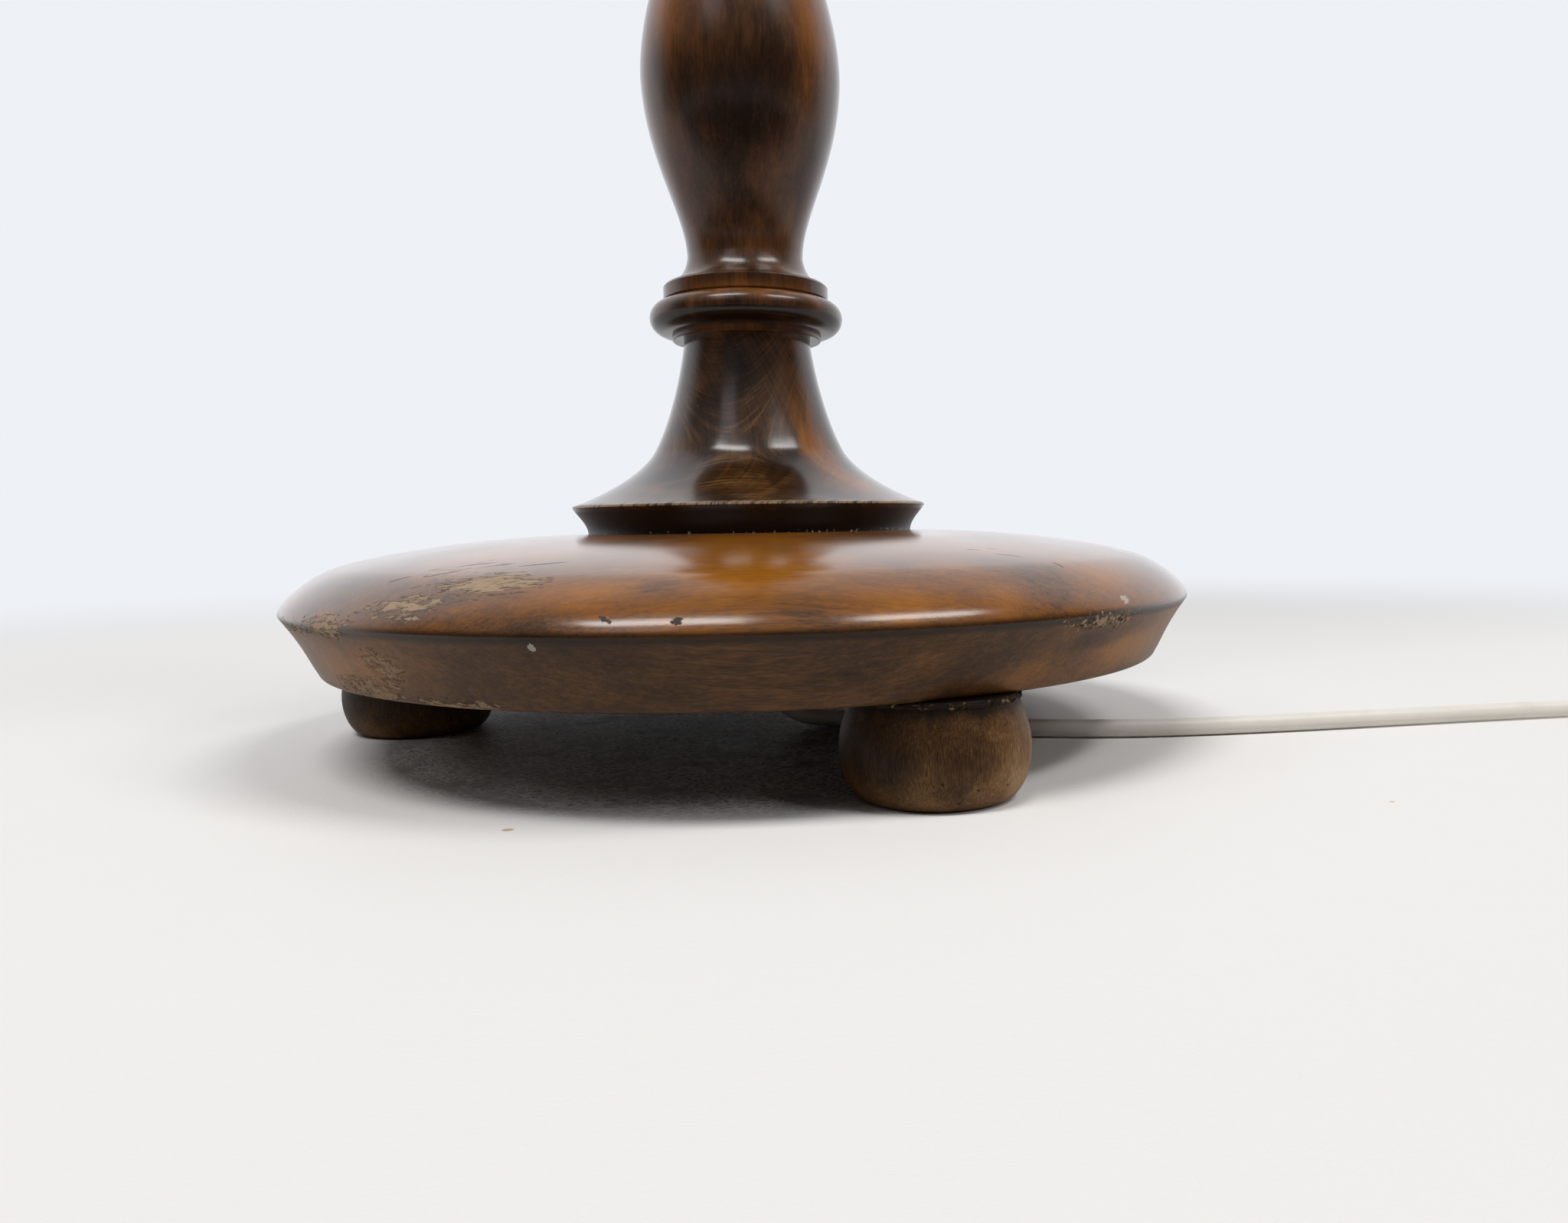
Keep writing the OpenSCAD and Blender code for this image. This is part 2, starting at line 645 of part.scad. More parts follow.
module tie_tube() {
    color(STEEL) ring(tube_r, tube_bore_r, tube_top - tube_z, tube_z);
}

module base_washer() {
    color(STEEL) ring(washer_d / 2, tube_r + 0.3, washer_h, hollow_roof - washer_h);
}

module base_nut() { color(STEEL) bored_nut(nut_w, nut_h, nut_z); }

module cord_bush() {
    sleeve_r = tube_bore_r - SEAT / 2;
    hole = cord_r + 0.2;
    color(WHITE_PLASTIC)
    turned([[hole, exit_z], [bush_d / 2 - 0.8, exit_z], [bush_d / 2, exit_z + 0.8],
            [bush_d / 2, tube_z], [sleeve_r, tube_z], [sleeve_r, tube_z + bush_sleeve_h],
            [hole, tube_z + bush_sleeve_h]]);
}

module top_washer() {
    color(STEEL) ring(cap_washer_d / 2, tube_r + 0.3, cap_washer_h, cup_floor);
}

module top_nut() { color(STEEL) bored_nut(nut_w, cap_nut_h, cup_floor + cap_washer_h); }

// ---- Lampholder ----

module at_holder() { translate([0, 0, cup_top]) children(); }

module holder_cap() {
    outer = shell_r + SEAT + brass_wall;
    neck = cap_neck_d / 2;
    color(BRASS) at_holder()
    difference() {
        turned(concat(
            [[tube_r + SEAT / 2, 0], [cap_foot_d / 2, 0], [cap_foot_d / 2, 1],
             [neck + 2, 1.8], [neck, 3]],
            curve([neck, cap_neck_h], [neck + 2, cap_neck_h + 5], [outer, cap_neck_h + 4],
                  [outer, shell_z - 1], 10),
            arc(outer, cap_h - 1.2, 1, -70, 70, 6),
            [[outer, cap_h], [shell_r + SEAT, cap_h], [shell_r + SEAT, shell_z - SEAT],
             [shell_r - brass_wall, shell_z - SEAT]],
            curve([shell_r - brass_wall, shell_z - 1], [shell_r - brass_wall, cap_neck_h + 6],
                  [neck + 1, cap_neck_h + 6], [neck - 1, cap_neck_h + 1], 10),
            [[tube_r + SEAT / 2, cap_neck_h + 1]]
        ));
        translate([0, 0, cap_neck_h / 2 + 1.5]) rotate([-90, 0, 0])
            cylinder(d = grub_d, h = neck + 4, $fn = ROUND);
    }
}

module grub_screw() {
    slot_t = grub_d / 4;
    color(STEEL) at_holder()
    translate([0, tube_r, cap_neck_h / 2 + 1.5]) rotate([-90, 0, 0])
    difference() {
        cylinder(d = grub_d - SEAT, h = cap_neck_d / 2 - tube_r + 1, $fn = ROUND);
        translate([-grub_d, -slot_t / 2, cap_neck_d / 2 - tube_r])
            cube([2 * grub_d, slot_t, 2]);
    }
}

module holder_shell() {
    lip_r = screw_d / 2 + 1.5;
    color(BRASS) at_holder()
    difference() {
        turned([[shell_r - brass_wall, shell_z], [shell_r, shell_z], [shell_r, shell_top - 1],
                [shell_r - 1, shell_top], [lip_r, shell_top], [lip_r, shell_top - brass_wall],
                [shell_r - brass_wall, shell_top - brass_wall]]);
        translate([0, 0, key_z]) rotate([0, 90, 0])
            cylinder(r = hole_r, h = shell_r + PAST, $fn = ROUND);
    }
}

module holder_liner() {
    color([0.72, 0.62, 0.45]) at_holder()
    difference() {
        ring(liner_r, liner_r - liner_wall, core_h + 8, shell_z + SEAT);
        translate([0, 0, key_z]) rotate([0, 90, 0])
            cylinder(r = hole_r, h = shell_r, $fn = ROUND);
    }
}

module porcelain_core() {
    chamber_h = core_h - chamber_roof;
    color(PORCELAIN) at_holder()
    difference() {
        turned([[0, core_z], [core_r, core_z], [core_r, core_top - 1],
                [core_r - 1, core_top], [0, core_top]]);
        translate([-chamber_l / 2, -chamber_w / 2, core_z - PAST])
            cube([chamber_l, chamber_w, chamber_h + PAST]);
        translate([-key_tip - SEAT, 0, key_z]) rotate([0, 90, 0])
            cylinder(r = key_r + key_gap, h = 2 * core_r, $fn = ROUND);
        for (side = [-1, 1])
            translate([0, side * terminal_y, core_z - PAST])
            cylinder(r = terminal_r, h = 7 + PAST, $fn = ROUND);
        translate([0, 0, core_top - chamber_roof - PAST])
            cylinder(r = 1.5, h = chamber_roof + 2 * PAST, $fn = ROUND);
    }
}

// A wall with the round ribs of a lamp thread, of radius r at its crests; every such wall
// has its ribs at the same heights, so that the bulb's seat in the holder's
function ribs(r, z, h) =
    let (first = ceil((z + 0.6 - core_top) / rib_step),
         last = floor((z + h - 0.6 - core_top) / rib_step))
    concat([[r - screw_depth, z]],
           [for (i = [first:last])
               [r - screw_depth * (1 - cos(45 * i)) / 2, core_top + rib_step * i]],
           [[r - screw_depth, z + h]]);

function back(points) = [for (i = [len(points) - 1:-1:0]) points[i]];

module screw_shell() {
    outer = ribs(screw_d / 2 + screw_wall, core_top + SEAT, screw_h);
    inner = ribs(screw_d / 2, core_top + SEAT, screw_h);
    color(BRASS) at_holder() turned(concat(outer, back(inner)));
}

module centre_contact() {
    rise = tip_z - core_top - SEAT;
    color(BRASS) at_holder()
    difference() {
        union() {
            translate([0, 0, core_top + SEAT]) cylinder(r = 5, h = 0.6, $fn = ROUND);
            translate([0, 0, core_top + SEAT]) cylinder(r = 2.6, h = rise - SEAT, $fn = ROUND);
            translate([0, 0, core_top - chamber_roof]) cylinder(r = 1.4, h = 4, $fn = ROUND);
        }
        translate([2.2, -1, core_top]) cube([4, 2, rise + PAST]);
    }
}

module terminal_screws() {
    color(BRASS) at_holder()
    for (side = [-1, 1])
        translate([0, side * terminal_y, core_z])
        difference() {
            union() {
                translate([0, 0, -terminal_head_h - SEAT])
                    cylinder(r = terminal_head_r, h = terminal_head_h, $fn = ROUND);
                translate([0, 0, -1]) cylinder(r = terminal_r - SEAT / 2, h = 7, $fn = ROUND);
            }
            translate([-4, -0.4, -terminal_head_h - SEAT - PAST]) cube([8, 0.8, PAST + 0.7]);
        }
}

module lower_shade_ring() { shade_ring(shade_ring_z); }
module upper_shade_ring() { shade_ring(shade_ring_z + shade_ring_h + fitter_h + 2 * SEAT); }

// A milled ring that screws on the holder's shell
module shade_ring(z) {
    notches = 24;
    notch_r = 1.2;
    r = shade_ring_d / 2;
    color(BRASS) at_holder()
    difference() {
        turned([[ring_bore_r, z], [r - 2, z], [r, z + 1], [r, z + shade_ring_h - 1],
                [r - 2, z + shade_ring_h], [ring_bore_r, z + shade_ring_h]]);
        for (k = [0:notches - 1])
            rotate(360 * k / notches) translate([r + notch_r / 2, 0, z - PAST])
            cylinder(r = notch_r, h = shade_ring_h + 2 * PAST, $fn = 16);
    }
}

// ---- Switch ----

module at_key() { at_holder() translate([0, 0, key_z]) rotate([0, 90, 0]) children(); }

module switch_key() {
    paddle_x = shell_r + 3;
    paddle_l = key_reach - paddle_x;
    color([0.10, 0.08, 0.07]) {
        at_key() translate([0, 0, -key_tip])
            cylinder(r = key_r, h = key_tip + paddle_x + 1, $fn = ROUND);
        at_key() translate([0, 0, paddle_x - 2])
            cylinder(r = key_r + 1.2, h = 3, $fn = ROUND);
        at_holder() translate([paddle_x, 0, key_z]) rotate([90, 0, 0])
            translate([0, 0, -paddle_t / 2]) linear_extrude(paddle_t)
            polygon(concat([[0, -key_r - 1], [0, key_r + 1]],
                           arc(paddle_l - 4, paddle_h / 2 - 4, 4, 120, 0, 6),
                           arc(paddle_l - 4, 4 - paddle_h / 2, 4, 0, -120, 6)));
    }
}

module switch_cam() {
    color([0.35, 0.12, 0.06]) at_key()
    difference() {
        linear_extrude(cam_l, center = true) intersection() {
            square(cam_w, center = true);
            circle(r = cam_corner_r, $fn = ROUND);
        }
        cylinder(r = key_r, h = cam_l + 2 * PAST, center = true, $fn = ROUND);
    }
}

// A strip with its foot against the chamber's wall, clear of the turning cam
module switch_leaf() {
    leaf_w = 5;
    foot_back = chamber_w / 2 - SEAT;
    leaf_y = max(cam_corner_r + 0.5, foot_back - leaf_t - 0.5);
    color(BRASS) at_holder()
    translate([-leaf_w / 2, leaf_y, core_z + 1]) {
        cube([leaf_w, leaf_t, core_h - chamber_roof - 2]);
        cube([leaf_w, foot_back - leaf_y, 2]);
    }
}

// ---- Bulb ----

module bulb_cap() {
    wall = bulb_cap_wall;
    thread_h = bulb_cap_top - collar_h - bulb_foot_z;
    outer = ribs(bulb_cap_r, bulb_foot_z, thread_h);
    inner = ribs(bulb_cap_r - wall, bulb_foot_z, thread_h);
    color([0.80, 0.80, 0.78]) at_holder()
    turned(concat(outer, [[bulb_cap_r, bulb_cap_top - collar_h], [bulb_cap_r, bulb_cap_top],
                          [bulb_cap_r - wall, bulb_cap_top],
                          [bulb_cap_r - wall, bulb_cap_top - collar_h]], back(inner)));
}

module bulb_insulator() {
    low_r = bulb_cap_r - screw_depth;
    in_r = low_r - bulb_cap_wall - SEAT;
    color([0.06, 0.06, 0.07]) at_holder()
    turned([[3 + SEAT, tip_z + tip_h], [5.5, tip_z + 1.2], [low_r, bulb_foot_z - SEAT],
            [in_r, bulb_foot_z - SEAT], [in_r, bulb_foot_z + 1], [3 + SEAT, bulb_foot_z + 1]]);
}

module bulb_contact() {
    color([0.75, 0.75, 0.72]) at_holder()
    turned([[0, tip_z], [3, tip_z], [4.4, tip_z + 0.9], [3, tip_z + tip_h - 0.2],
            [3, tip_z + insulator_h], [0, tip_z + insulator_h]]);
}

module bulb_glass() {
    neck_r = bulb_neck_r;
    throat_z = bulb_cap_top + 0.5;
    inner_r = bulb_r - bulb_wall;
    color([0.95, 0.95, 0.92]) at_holder()
    turned(concat(
        [[neck_r, bulb_neck_z]],
        curve([neck_r, throat_z], [neck_r + 0.6, throat_z + 16], [bulb_r, bulb_wide_z - 24],
              [bulb_r, bulb_wide_z]),
        arc(0, bulb_wide_z, bulb_r, 6, 90, 16),
        back(arc(0, bulb_wide_z, inner_r, 0, 90, 16)),
        back(curve([neck_r - bulb_wall, throat_z], [neck_r + 0.6 - bulb_wall, throat_z + 16],
                   [inner_r, bulb_wide_z - 24], [inner_r, bulb_wide_z - 0.5])),
        [[neck_r - bulb_wall, bulb_neck_z]]
    ));
}

module bulb_stem() {
    neck_z = bulb_neck_z;
    neck_r = bulb_neck_r - bulb_wall - SEAT;
    stem_h = 34;
    lead_r = 0.5;
    coil_span = 14;
    color([0.85, 0.87, 0.88]) at_holder() {
        turned([[0, neck_z], [neck_r, neck_z], [neck_r, neck_z + 1.2], [4, neck_z + 6],
                [3, neck_z + stem_h - 10], [3, neck_z + stem_h], [0, neck_z + stem_h]]);
        for (side = [-1, 1])
            translate([0, 0, neck_z + stem_h - 2])
            rotate([0, side * 35, 0]) cylinder(r = lead_r, h = 15, $fn = ROUND);
        translate([-coil_span / 2 - 1, 0, neck_z + stem_h + 9]) rotate([0, 90, 0])
            cylinder(r = 0.7, h = coil_span + 2, $fn = ROUND);
    }
}

// ---- Shade ----

// Outside radius of the shade at a height above its lower edge
function shade_r(z) = shade_d / 2 - shade_slope * z;

module shade_panel() {
    color(LINEN)
    turned(raised([[shade_r(0) - shade_wall, 0], [shade_r(0), 0],
                   [shade_r(shade_h), shade_h], [shade_r(shade_h) - shade_wall, shade_h]],
                  shade_z));
}

// A wire ring inside the shade, at a height above its lower edge
module wire_ring(z) {
    translate([0, 0, shade_z + z]) rotate_extrude($fn = ROUND)
        translate([shade_r(z) - wire_inset, 0]) circle(r = wire_r, $fn = 24);
}

module shade_bottom_ring() { color(LINEN) wire_ring(wire_r + 1); }

module shade_top_ring() { color(LINEN) wire_ring(top_ring_z); }

// The flat ring between the two shade rings, and its three bent wire arms up to the top ring
module shade_spider() {
    wire_z = fitter_z + SEAT + fitter_h / 2;
    top = [shade_r(top_ring_z) - wire_inset, shade_z + top_ring_z - wire_z];
    lean = atan2(top.y, top.x - arm_reach);
    cut = arm_bend * tan(lean / 2);
    arm_r = wire_r - 0.3;
    fitter_r = shade_ring_d / 2 + 2;
    end = top - (wire_r + 0.5) * [cos(lean), sin(lean)];
    line = concat([[fitter_r - 1, 0]], arc(arm_reach - cut, arm_bend, arm_bend, -90, lean - 90, 10),
                  [end]);
    color(LINEN) {
        ring(fitter_r, ring_bore_r, fitter_h, fitter_z + SEAT);
        for (k = [0:2])
            rotate(arm_turn + 120 * k) translate([0, 0, wire_z])
            swept([for (p = line) [p.x, 0, p.y]], arm_r, 10);
    }
}

// Cloth tape folded over an edge of the shade and its wire; up is 1 at the lower edge, -1 at the upper
module binding(edge, up) {
    t = binding_t;
    inner = shade_wall + wire_d + 0.4;
    function at(z, inset) = [shade_r(edge + up * z) - inset, edge + up * z];
    color([0.80, 0.74, 0.62])
    turned(raised([at(binding_h, 0), at(0, 0), at(0, inner), at(wire_d + 1.5, inner),
                   at(wire_d + 1.5, inner + t), at(-t, inner + t), at(-t, -t), at(binding_h, -t)],
                  shade_z));
}

// The upper tape's inner fold is cut where the three arms meet the ring
module top_binding() {
    slit_w = wire_d + 1;
    difference() {
        binding(shade_h, -1);
        for (k = [0:2])
            rotate(arm_turn + 120 * k)
            translate([shade_top_d / 2 - 3 * wire_inset, -slit_w / 2, shade_z + shade_h - 3 * wire_d])
            cube([3 * wire_inset - shade_wall - wire_d, slit_w, 3 * wire_d - wire_r]);
    }
}
module bottom_binding() { binding(0, 1); }

// ---- Cord ----

module inner_cord() {
    color(WHITE_PLASTIC) translate([0, 0, exit_z])
        cylinder(r = cord_r, h = tube_top - 1 - exit_z, $fn = ROUND);
}

// A core from the end of the cord's sheath to a terminal screw's head
module core_wire(side) {
    core_wire_r = 0.9;
    top = cup_top + core_z - terminal_head_h / 2 - SEAT;
    from = tube_top - 1;
    reach = terminal_y - terminal_head_r - core_wire_r - 0.1;
    swept([[0, side * 1.3, from], [0, side * 1.3, from + 2], [0, side * 2.6, from + 4],
           [0, side * reach, top - 2.5], [0, side * reach, top]], core_wire_r, 8);
}

module live_wire() { color([0.45, 0.24, 0.10]) core_wire(1); }
module neutral_wire() { color([0.10, 0.25, 0.60]) core_wire(-1); }

module cord_run() { color(WHITE_PLASTIC) swept(CORD_ROUTE, cord_r, 10); }

module cord_coil() { color(WHITE_PLASTIC) swept(coil_line(), cord_r, 6); }

// Places what lies with its length along -Y from the plug's back
module at_plug(y) { translate([tail_x, plug_y - y, plug_z]) rotate([90, 0, 0]) children(); }

module plug_body() {
    w = plug_w / 2;
    t = plug_t / 2;
    nose_w = pin_pitch / 2 + 4;
    tail_r = cord_r + 2.2;
    color(WHITE_PLASTIC)
    difference() {
        union() {
            intersection() {
                translate([tail_x, plug_y, 0]) linear_extrude(plug_t)
                    polygon(concat(
                        curve([tail_r, 0], [w - 6, -2], [w, -plug_l * 0.25], [w, -plug_l * 0.55], 8),
                        [[nose_w + 1, -plug_l + 1], [nose_w, -plug_l],
                         [-nose_w, -plug_l], [-nose_w - 1, -plug_l + 1]],
                        back(curve([-tail_r, 0], [6 - w, -2], [-w, -plug_l * 0.25],
                                   [-w, -plug_l * 0.55], 8))));
                translate([tail_x + plug_w, plug_y, plug_z]) rotate([0, -90, 0])
                    linear_extrude(2 * plug_w)
                    polygon([[tail_r, 0], [t, -7], [t, -plug_l + 2], [t - 2, -plug_l],
                             [2 - t, -plug_l], [-t, -plug_l + 2], [-t, -7], [-tail_r, 0]]);
            }
            at_plug(-plug_tail_l) rotate_extrude($fn = ROUND)
                polygon(concat([[0, 0], [cord_r + 0.6, 0]],
                               [for (k = [0:4]) let (z = 2 + 4 * k, r = cord_r + 0.8 + 0.24 * k)
                                   each [[r, z], [r + 0.3, z + 2.4], [r - 0.5, z + 2.6],
                                         [r - 0.5, z + 3.8]]],
                               [[tail_r, plug_tail_l - 1], [tail_r, plug_tail_l + 3],
                                [0, plug_tail_l + 3]]));
        }
        for (side = [-1, 1])
            at_plug(plug_l - pin_root) translate([side * pin_pitch / 2, 0, 0])
            cylinder(r = pin_shank_r, h = pin_root + PAST, $fn = ROUND);
    }
}

module plug_pins() {
    color(STEEL)
    for (side = [-1, 1])
        at_plug(plug_l - pin_root) translate([side * pin_pitch / 2, 0, 0])
        rotate_extrude($fn = ROUND)
        polygon(concat([[0, 0], [pin_shank_r, 0], [pin_shank_r, pin_root + pin_sleeve_l],
                        [pin_d / 2, pin_root + pin_sleeve_l]],
                       arc(pin_d / 2 - 1.2, pin_root + pin_l - 1.2, 1.2, 0, 90, 5),
                       [[0, pin_root + pin_l]]));
}

module pin_sleeves() {
    color([0.12, 0.12, 0.12])
    for (side = [-1, 1])
        at_plug(plug_l) translate([side * pin_pitch / 2, 0, 0])
        ring(pin_sleeve_r, pin_shank_r, pin_sleeve_l, 0);
}

base_disc();
foot_front();
foot_back();
foot_left();
bell_foot();
lower_stem();
upper_stem();
drip_pan();
candle_cup();
tie_tube();
base_washer();
base_nut();
cord_bush();
top_washer();
top_nut();
holder_cap();
grub_screw();
holder_shell();
holder_liner();
porcelain_core();
screw_shell();
centre_contact();
terminal_screws();
switch_key();
switch_cam();
switch_leaf();
lower_shade_ring();
upper_shade_ring();
bulb_cap();
bulb_insulator();
bulb_contact();
bulb_glass();
bulb_stem();
shade_panel();
shade_spider();
shade_top_ring();
shade_bottom_ring();
top_binding();
bottom_binding();
inner_cord();
live_wire();
neutral_wire();
cord_run();
cord_coil();
plug_body();
plug_pins();
pin_sleeves();
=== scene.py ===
# %% [markdown]
# # A candlestick floor lamp
# The lamp is turned from stained birch: a domed disc on three bun feet, a bell foot, a column
# of two stems, a drip pan and a candle cup. A keyed brass lampholder, a bulb and a linen shade
# stand on it, and a white mains cord leaves it under the disc. The construction comes from the
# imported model. This script gives every piece its looks, in the same frame and in metres.

import json
from math import asin, cos, hypot, pi, radians, sin

import bpy
from mathutils import Matrix, Vector


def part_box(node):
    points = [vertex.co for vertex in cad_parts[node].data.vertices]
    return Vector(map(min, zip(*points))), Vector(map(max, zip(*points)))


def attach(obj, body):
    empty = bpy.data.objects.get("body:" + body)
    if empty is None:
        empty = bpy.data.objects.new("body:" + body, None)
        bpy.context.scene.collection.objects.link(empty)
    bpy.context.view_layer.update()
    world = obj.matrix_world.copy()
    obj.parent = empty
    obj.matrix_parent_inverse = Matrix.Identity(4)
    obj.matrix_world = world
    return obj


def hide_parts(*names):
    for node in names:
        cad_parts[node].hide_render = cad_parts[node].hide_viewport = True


MM = 0.001

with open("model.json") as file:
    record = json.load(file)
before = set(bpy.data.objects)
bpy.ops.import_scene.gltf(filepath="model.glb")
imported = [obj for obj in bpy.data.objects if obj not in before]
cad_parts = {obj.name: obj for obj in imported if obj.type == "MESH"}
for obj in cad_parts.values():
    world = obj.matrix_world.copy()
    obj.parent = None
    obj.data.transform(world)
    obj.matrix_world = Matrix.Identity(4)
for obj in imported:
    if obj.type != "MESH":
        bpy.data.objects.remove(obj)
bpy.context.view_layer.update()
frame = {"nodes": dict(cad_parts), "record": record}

# %% [markdown]
# ## Camera
# The photograph was taken close to the disc with a wide lens, a hand's breadth above the floor.
# The camera could be placed by eye, but the ellipses of disc, bell and collar fix it: their
# widths give the distance, and their openings the height. The frame is cropped off-centre, so
# the lens axis isn't in its middle, and a small shift says where it is.

# %% Camera
PHOTO_W = 2048
FOCUS_PX = 1443.2
LENS_AXIS_PX = 1156.4
EYE = Vector((0, -398.4, 72.4)) * MM
YAW = radians(6.80)
PITCH = radians(4.64)
ROLL = radians(-0.85)
SENSOR = 36

bpy.ops.object.camera_add(location=EYE)
camera = bpy.context.object
camera.name = "camera"
forward = Vector((sin(YAW) * cos(PITCH), cos(YAW) * cos(PITCH), -sin(PITCH)))
level = Vector((cos(YAW), -sin(YAW), 0))
plumb = level.cross(forward)
right = cos(ROLL) * level + sin(ROLL) * plumb
up = cos(ROLL) * plumb - sin(ROLL) * level
camera.matrix_world = Matrix.Translation(EYE) @ Matrix((right, up, -forward)).transposed().to_4x4()
camera.data.sensor_width = SENSOR
camera.data.lens = FOCUS_PX / PHOTO_W * SENSOR
camera.data.shift_x = 0.5 - LENS_AXIS_PX / PHOTO_W
camera.data.clip_start = 10 * MM
bpy.context.scene.camera = camera
bpy.context.scene.view_settings.view_transform = "Standard"
print("lens in mm:", round(camera.data.lens, 2))

# %% [markdown]
# ## The mains cord
# A round white cord of 6 mm leaves the tube under the disc, drops to the floor in one bend and
# runs off to the right behind the front foot. Its route was laid on the floor. The
# length that nobody sees is coiled in two layers beside the lamp, as for storage: inwards on
# the floor, half a turn up, and outwards again, down to the plug. A curve of one spline holds
# all of it, because a cord is one piece. Blender's box of a curve is as wide as the radius of
# its points, so the cord's thickness is given there, and the bevel's own depth is 1.

# %% The cord's route
CORD_D = 6 * MM
FLOOR_Z = 3.1
EXIT = (0, 0, 34.5)
CORD_ROUTE = [
    EXIT, (0, 0, 28.5), (0.8, -0.3, 22), (3.2, -1.1, 15.8), (6.9, -2.4, 10.5),
    (11.8, -4.1, 6.4), (17.5, -6.1, 3.9), (23.6, -8.2, FLOOR_Z), (38, -14.8, FLOOR_Z),
    (51, -22, FLOOR_Z), (64, -29.2, FLOOR_Z), (77, -35.8, FLOOR_Z), (90, -41.2, FLOOR_Z),
    (104, -45.4, FLOOR_Z), (119, -48, FLOOR_Z), (134, -49.4, FLOOR_Z), (149, -49.8, FLOOR_Z),
    (164, -49.6, FLOOR_Z), (179, -49, FLOOR_Z), (194, -48.2, FLOOR_Z), (209, -47.2, FLOOR_Z),
    (224, -46.2, FLOOR_Z), (239, -45.2, FLOOR_Z), (254, -44.3, FLOOR_Z), (269, -43.5, FLOOR_Z),
    (284, -42.8, FLOOR_Z), (299, -42.2, FLOOR_Z), (312, -42, FLOOR_Z), (324, -42, FLOOR_Z),
]
COIL_R = 47.4
COIL_PITCH = 6.6
COIL_X = 330
COIL_Y = -42 - COIL_R
TURNS_IN = 3.5
TURNS_OUT = 3.25
COIL_STEPS = 24
TAIL_LEVEL = 24
TAIL_DOWN = 24
PLUG_Z = 6.9


def eased(t):
    t = min(1, max(0, t))
    return (1 - cos(pi * t)) / 2


def coil_radius(turn):
    """Inwards on the floor, round the middle on the way up, and outwards on the second layer."""
    inner = COIL_R - COIL_PITCH * TURNS_IN
    if turn < TURNS_IN:
        return COIL_R - COIL_PITCH * turn
    if turn > TURNS_IN + 0.5:
        return inner + COIL_PITCH * (turn - TURNS_IN - 0.5)
    return inner - COIL_PITCH / 8 + 2 * COIL_PITCH * (turn - TURNS_IN - 0.25) ** 2


def coil_point(turn):
    angle = pi / 2 - 2 * pi * turn
    radius = coil_radius(turn)
    lift = COIL_PITCH * eased((turn - TURNS_IN) / 0.5)
    return (COIL_X + radius * cos(angle), COIL_Y + radius * sin(angle), FLOOR_Z + lift)


turns = TURNS_IN + 0.5 + TURNS_OUT
coil = [coil_point(i / COIL_STEPS) for i in range(round(COIL_STEPS * turns) + 1)]
tail_x, tail_y, tail_z = coil[-1]
tail_steps = range(6, TAIL_LEVEL + TAIL_DOWN + 7, 6)
tail = [
    (tail_x, tail_y - s, tail_z + (PLUG_Z - tail_z) * eased((s - TAIL_LEVEL) / TAIL_DOWN))
    for s in tail_steps
]
cord_line = [Vector(p) * MM for p in CORD_ROUTE + coil + tail]
cord_length = sum((b - a).length for a, b in zip(cord_line, cord_line[1:]))
print("free cord in m:", round(cord_length, 3))

# %% The cord as a curve
cord_curve = bpy.data.curves.new("mains_cord", "CURVE")
cord_curve.dimensions = "3D"
cord_curve.bevel_depth = 1
cord_curve.bevel_resolution = 7
cord_curve.resolution_u = 5
cord_curve.use_fill_caps = True
spline = cord_curve.splines.new("BEZIER")
spline.bezier_points.add(len(cord_line) - 1)
for knot, place in zip(spline.bezier_points, cord_line):
    knot.co = place
    knot.radius = CORD_D / 2
    knot.handle_left_type = "AUTO"
    knot.handle_right_type = "AUTO"
mains_cord = bpy.data.objects.new("mains_cord", cord_curve)
bpy.context.scene.collection.objects.link(mains_cord)
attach(mains_cord, "stand")
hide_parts("cord_run", "cord_coil")

# %% [markdown]
# ## Shader maths as sums
# A finish is a few patterns that are added, multiplied and used as masks. Drawn as nodes, such a
# sum needs a Math node for each sign, so a small class wraps a socket and lets Python write it.
# Every other node comes from one method, which sets the node's settings before its sockets.

# %% A socket that can be added and multiplied
class Value:
    """A number that varies over a surface. Each sum on it adds a Math node."""

    def __init__(self, finish, socket):
        self.finish = finish
        self.socket = socket

    def math(self, operation, *others, **settings):
        settings["operation"] = operation
        return self.finish.node("ShaderNodeMath", settings, dict(enumerate((self, *others))))

    def __add__(self, other):
        return self.math("ADD", other)

    def __sub__(self, other):
        return self.math("SUBTRACT", other)

    def __rsub__(self, other):
        return self.math("MULTIPLY_ADD", -1, other)

    def __mul__(self, other):
        return self.math("MULTIPLY", other)

    def __pow__(self, other):
        return self.math("POWER", other)

    __radd__ = __add__
    __rmul__ = __mul__

    def clamped(self):
        return self.math("ADD", 0, use_clamp=True)

    def step(self, low, high):
        """0 below low, 1 above high, and eased in between. With low over high it falls."""
        if low > high:
            return 1 - self.step(high, low)
        return self.finish.node(
            "ShaderNodeMapRange", {"interpolation_type": "SMOOTHSTEP"},
            {"Value": self, "From Min": low, "From Max": high},
        )

    def most(self, other):
        return self.math("MAXIMUM", other)


# %% A finish, which is a material under construction
def set_stops(ramp, stops):
    while len(ramp.elements) < len(stops):
        ramp.elements.new(1)
    for element, (position, colour) in zip(ramp.elements, stops):
        element.position = position
        element.color = (*colour, 1)


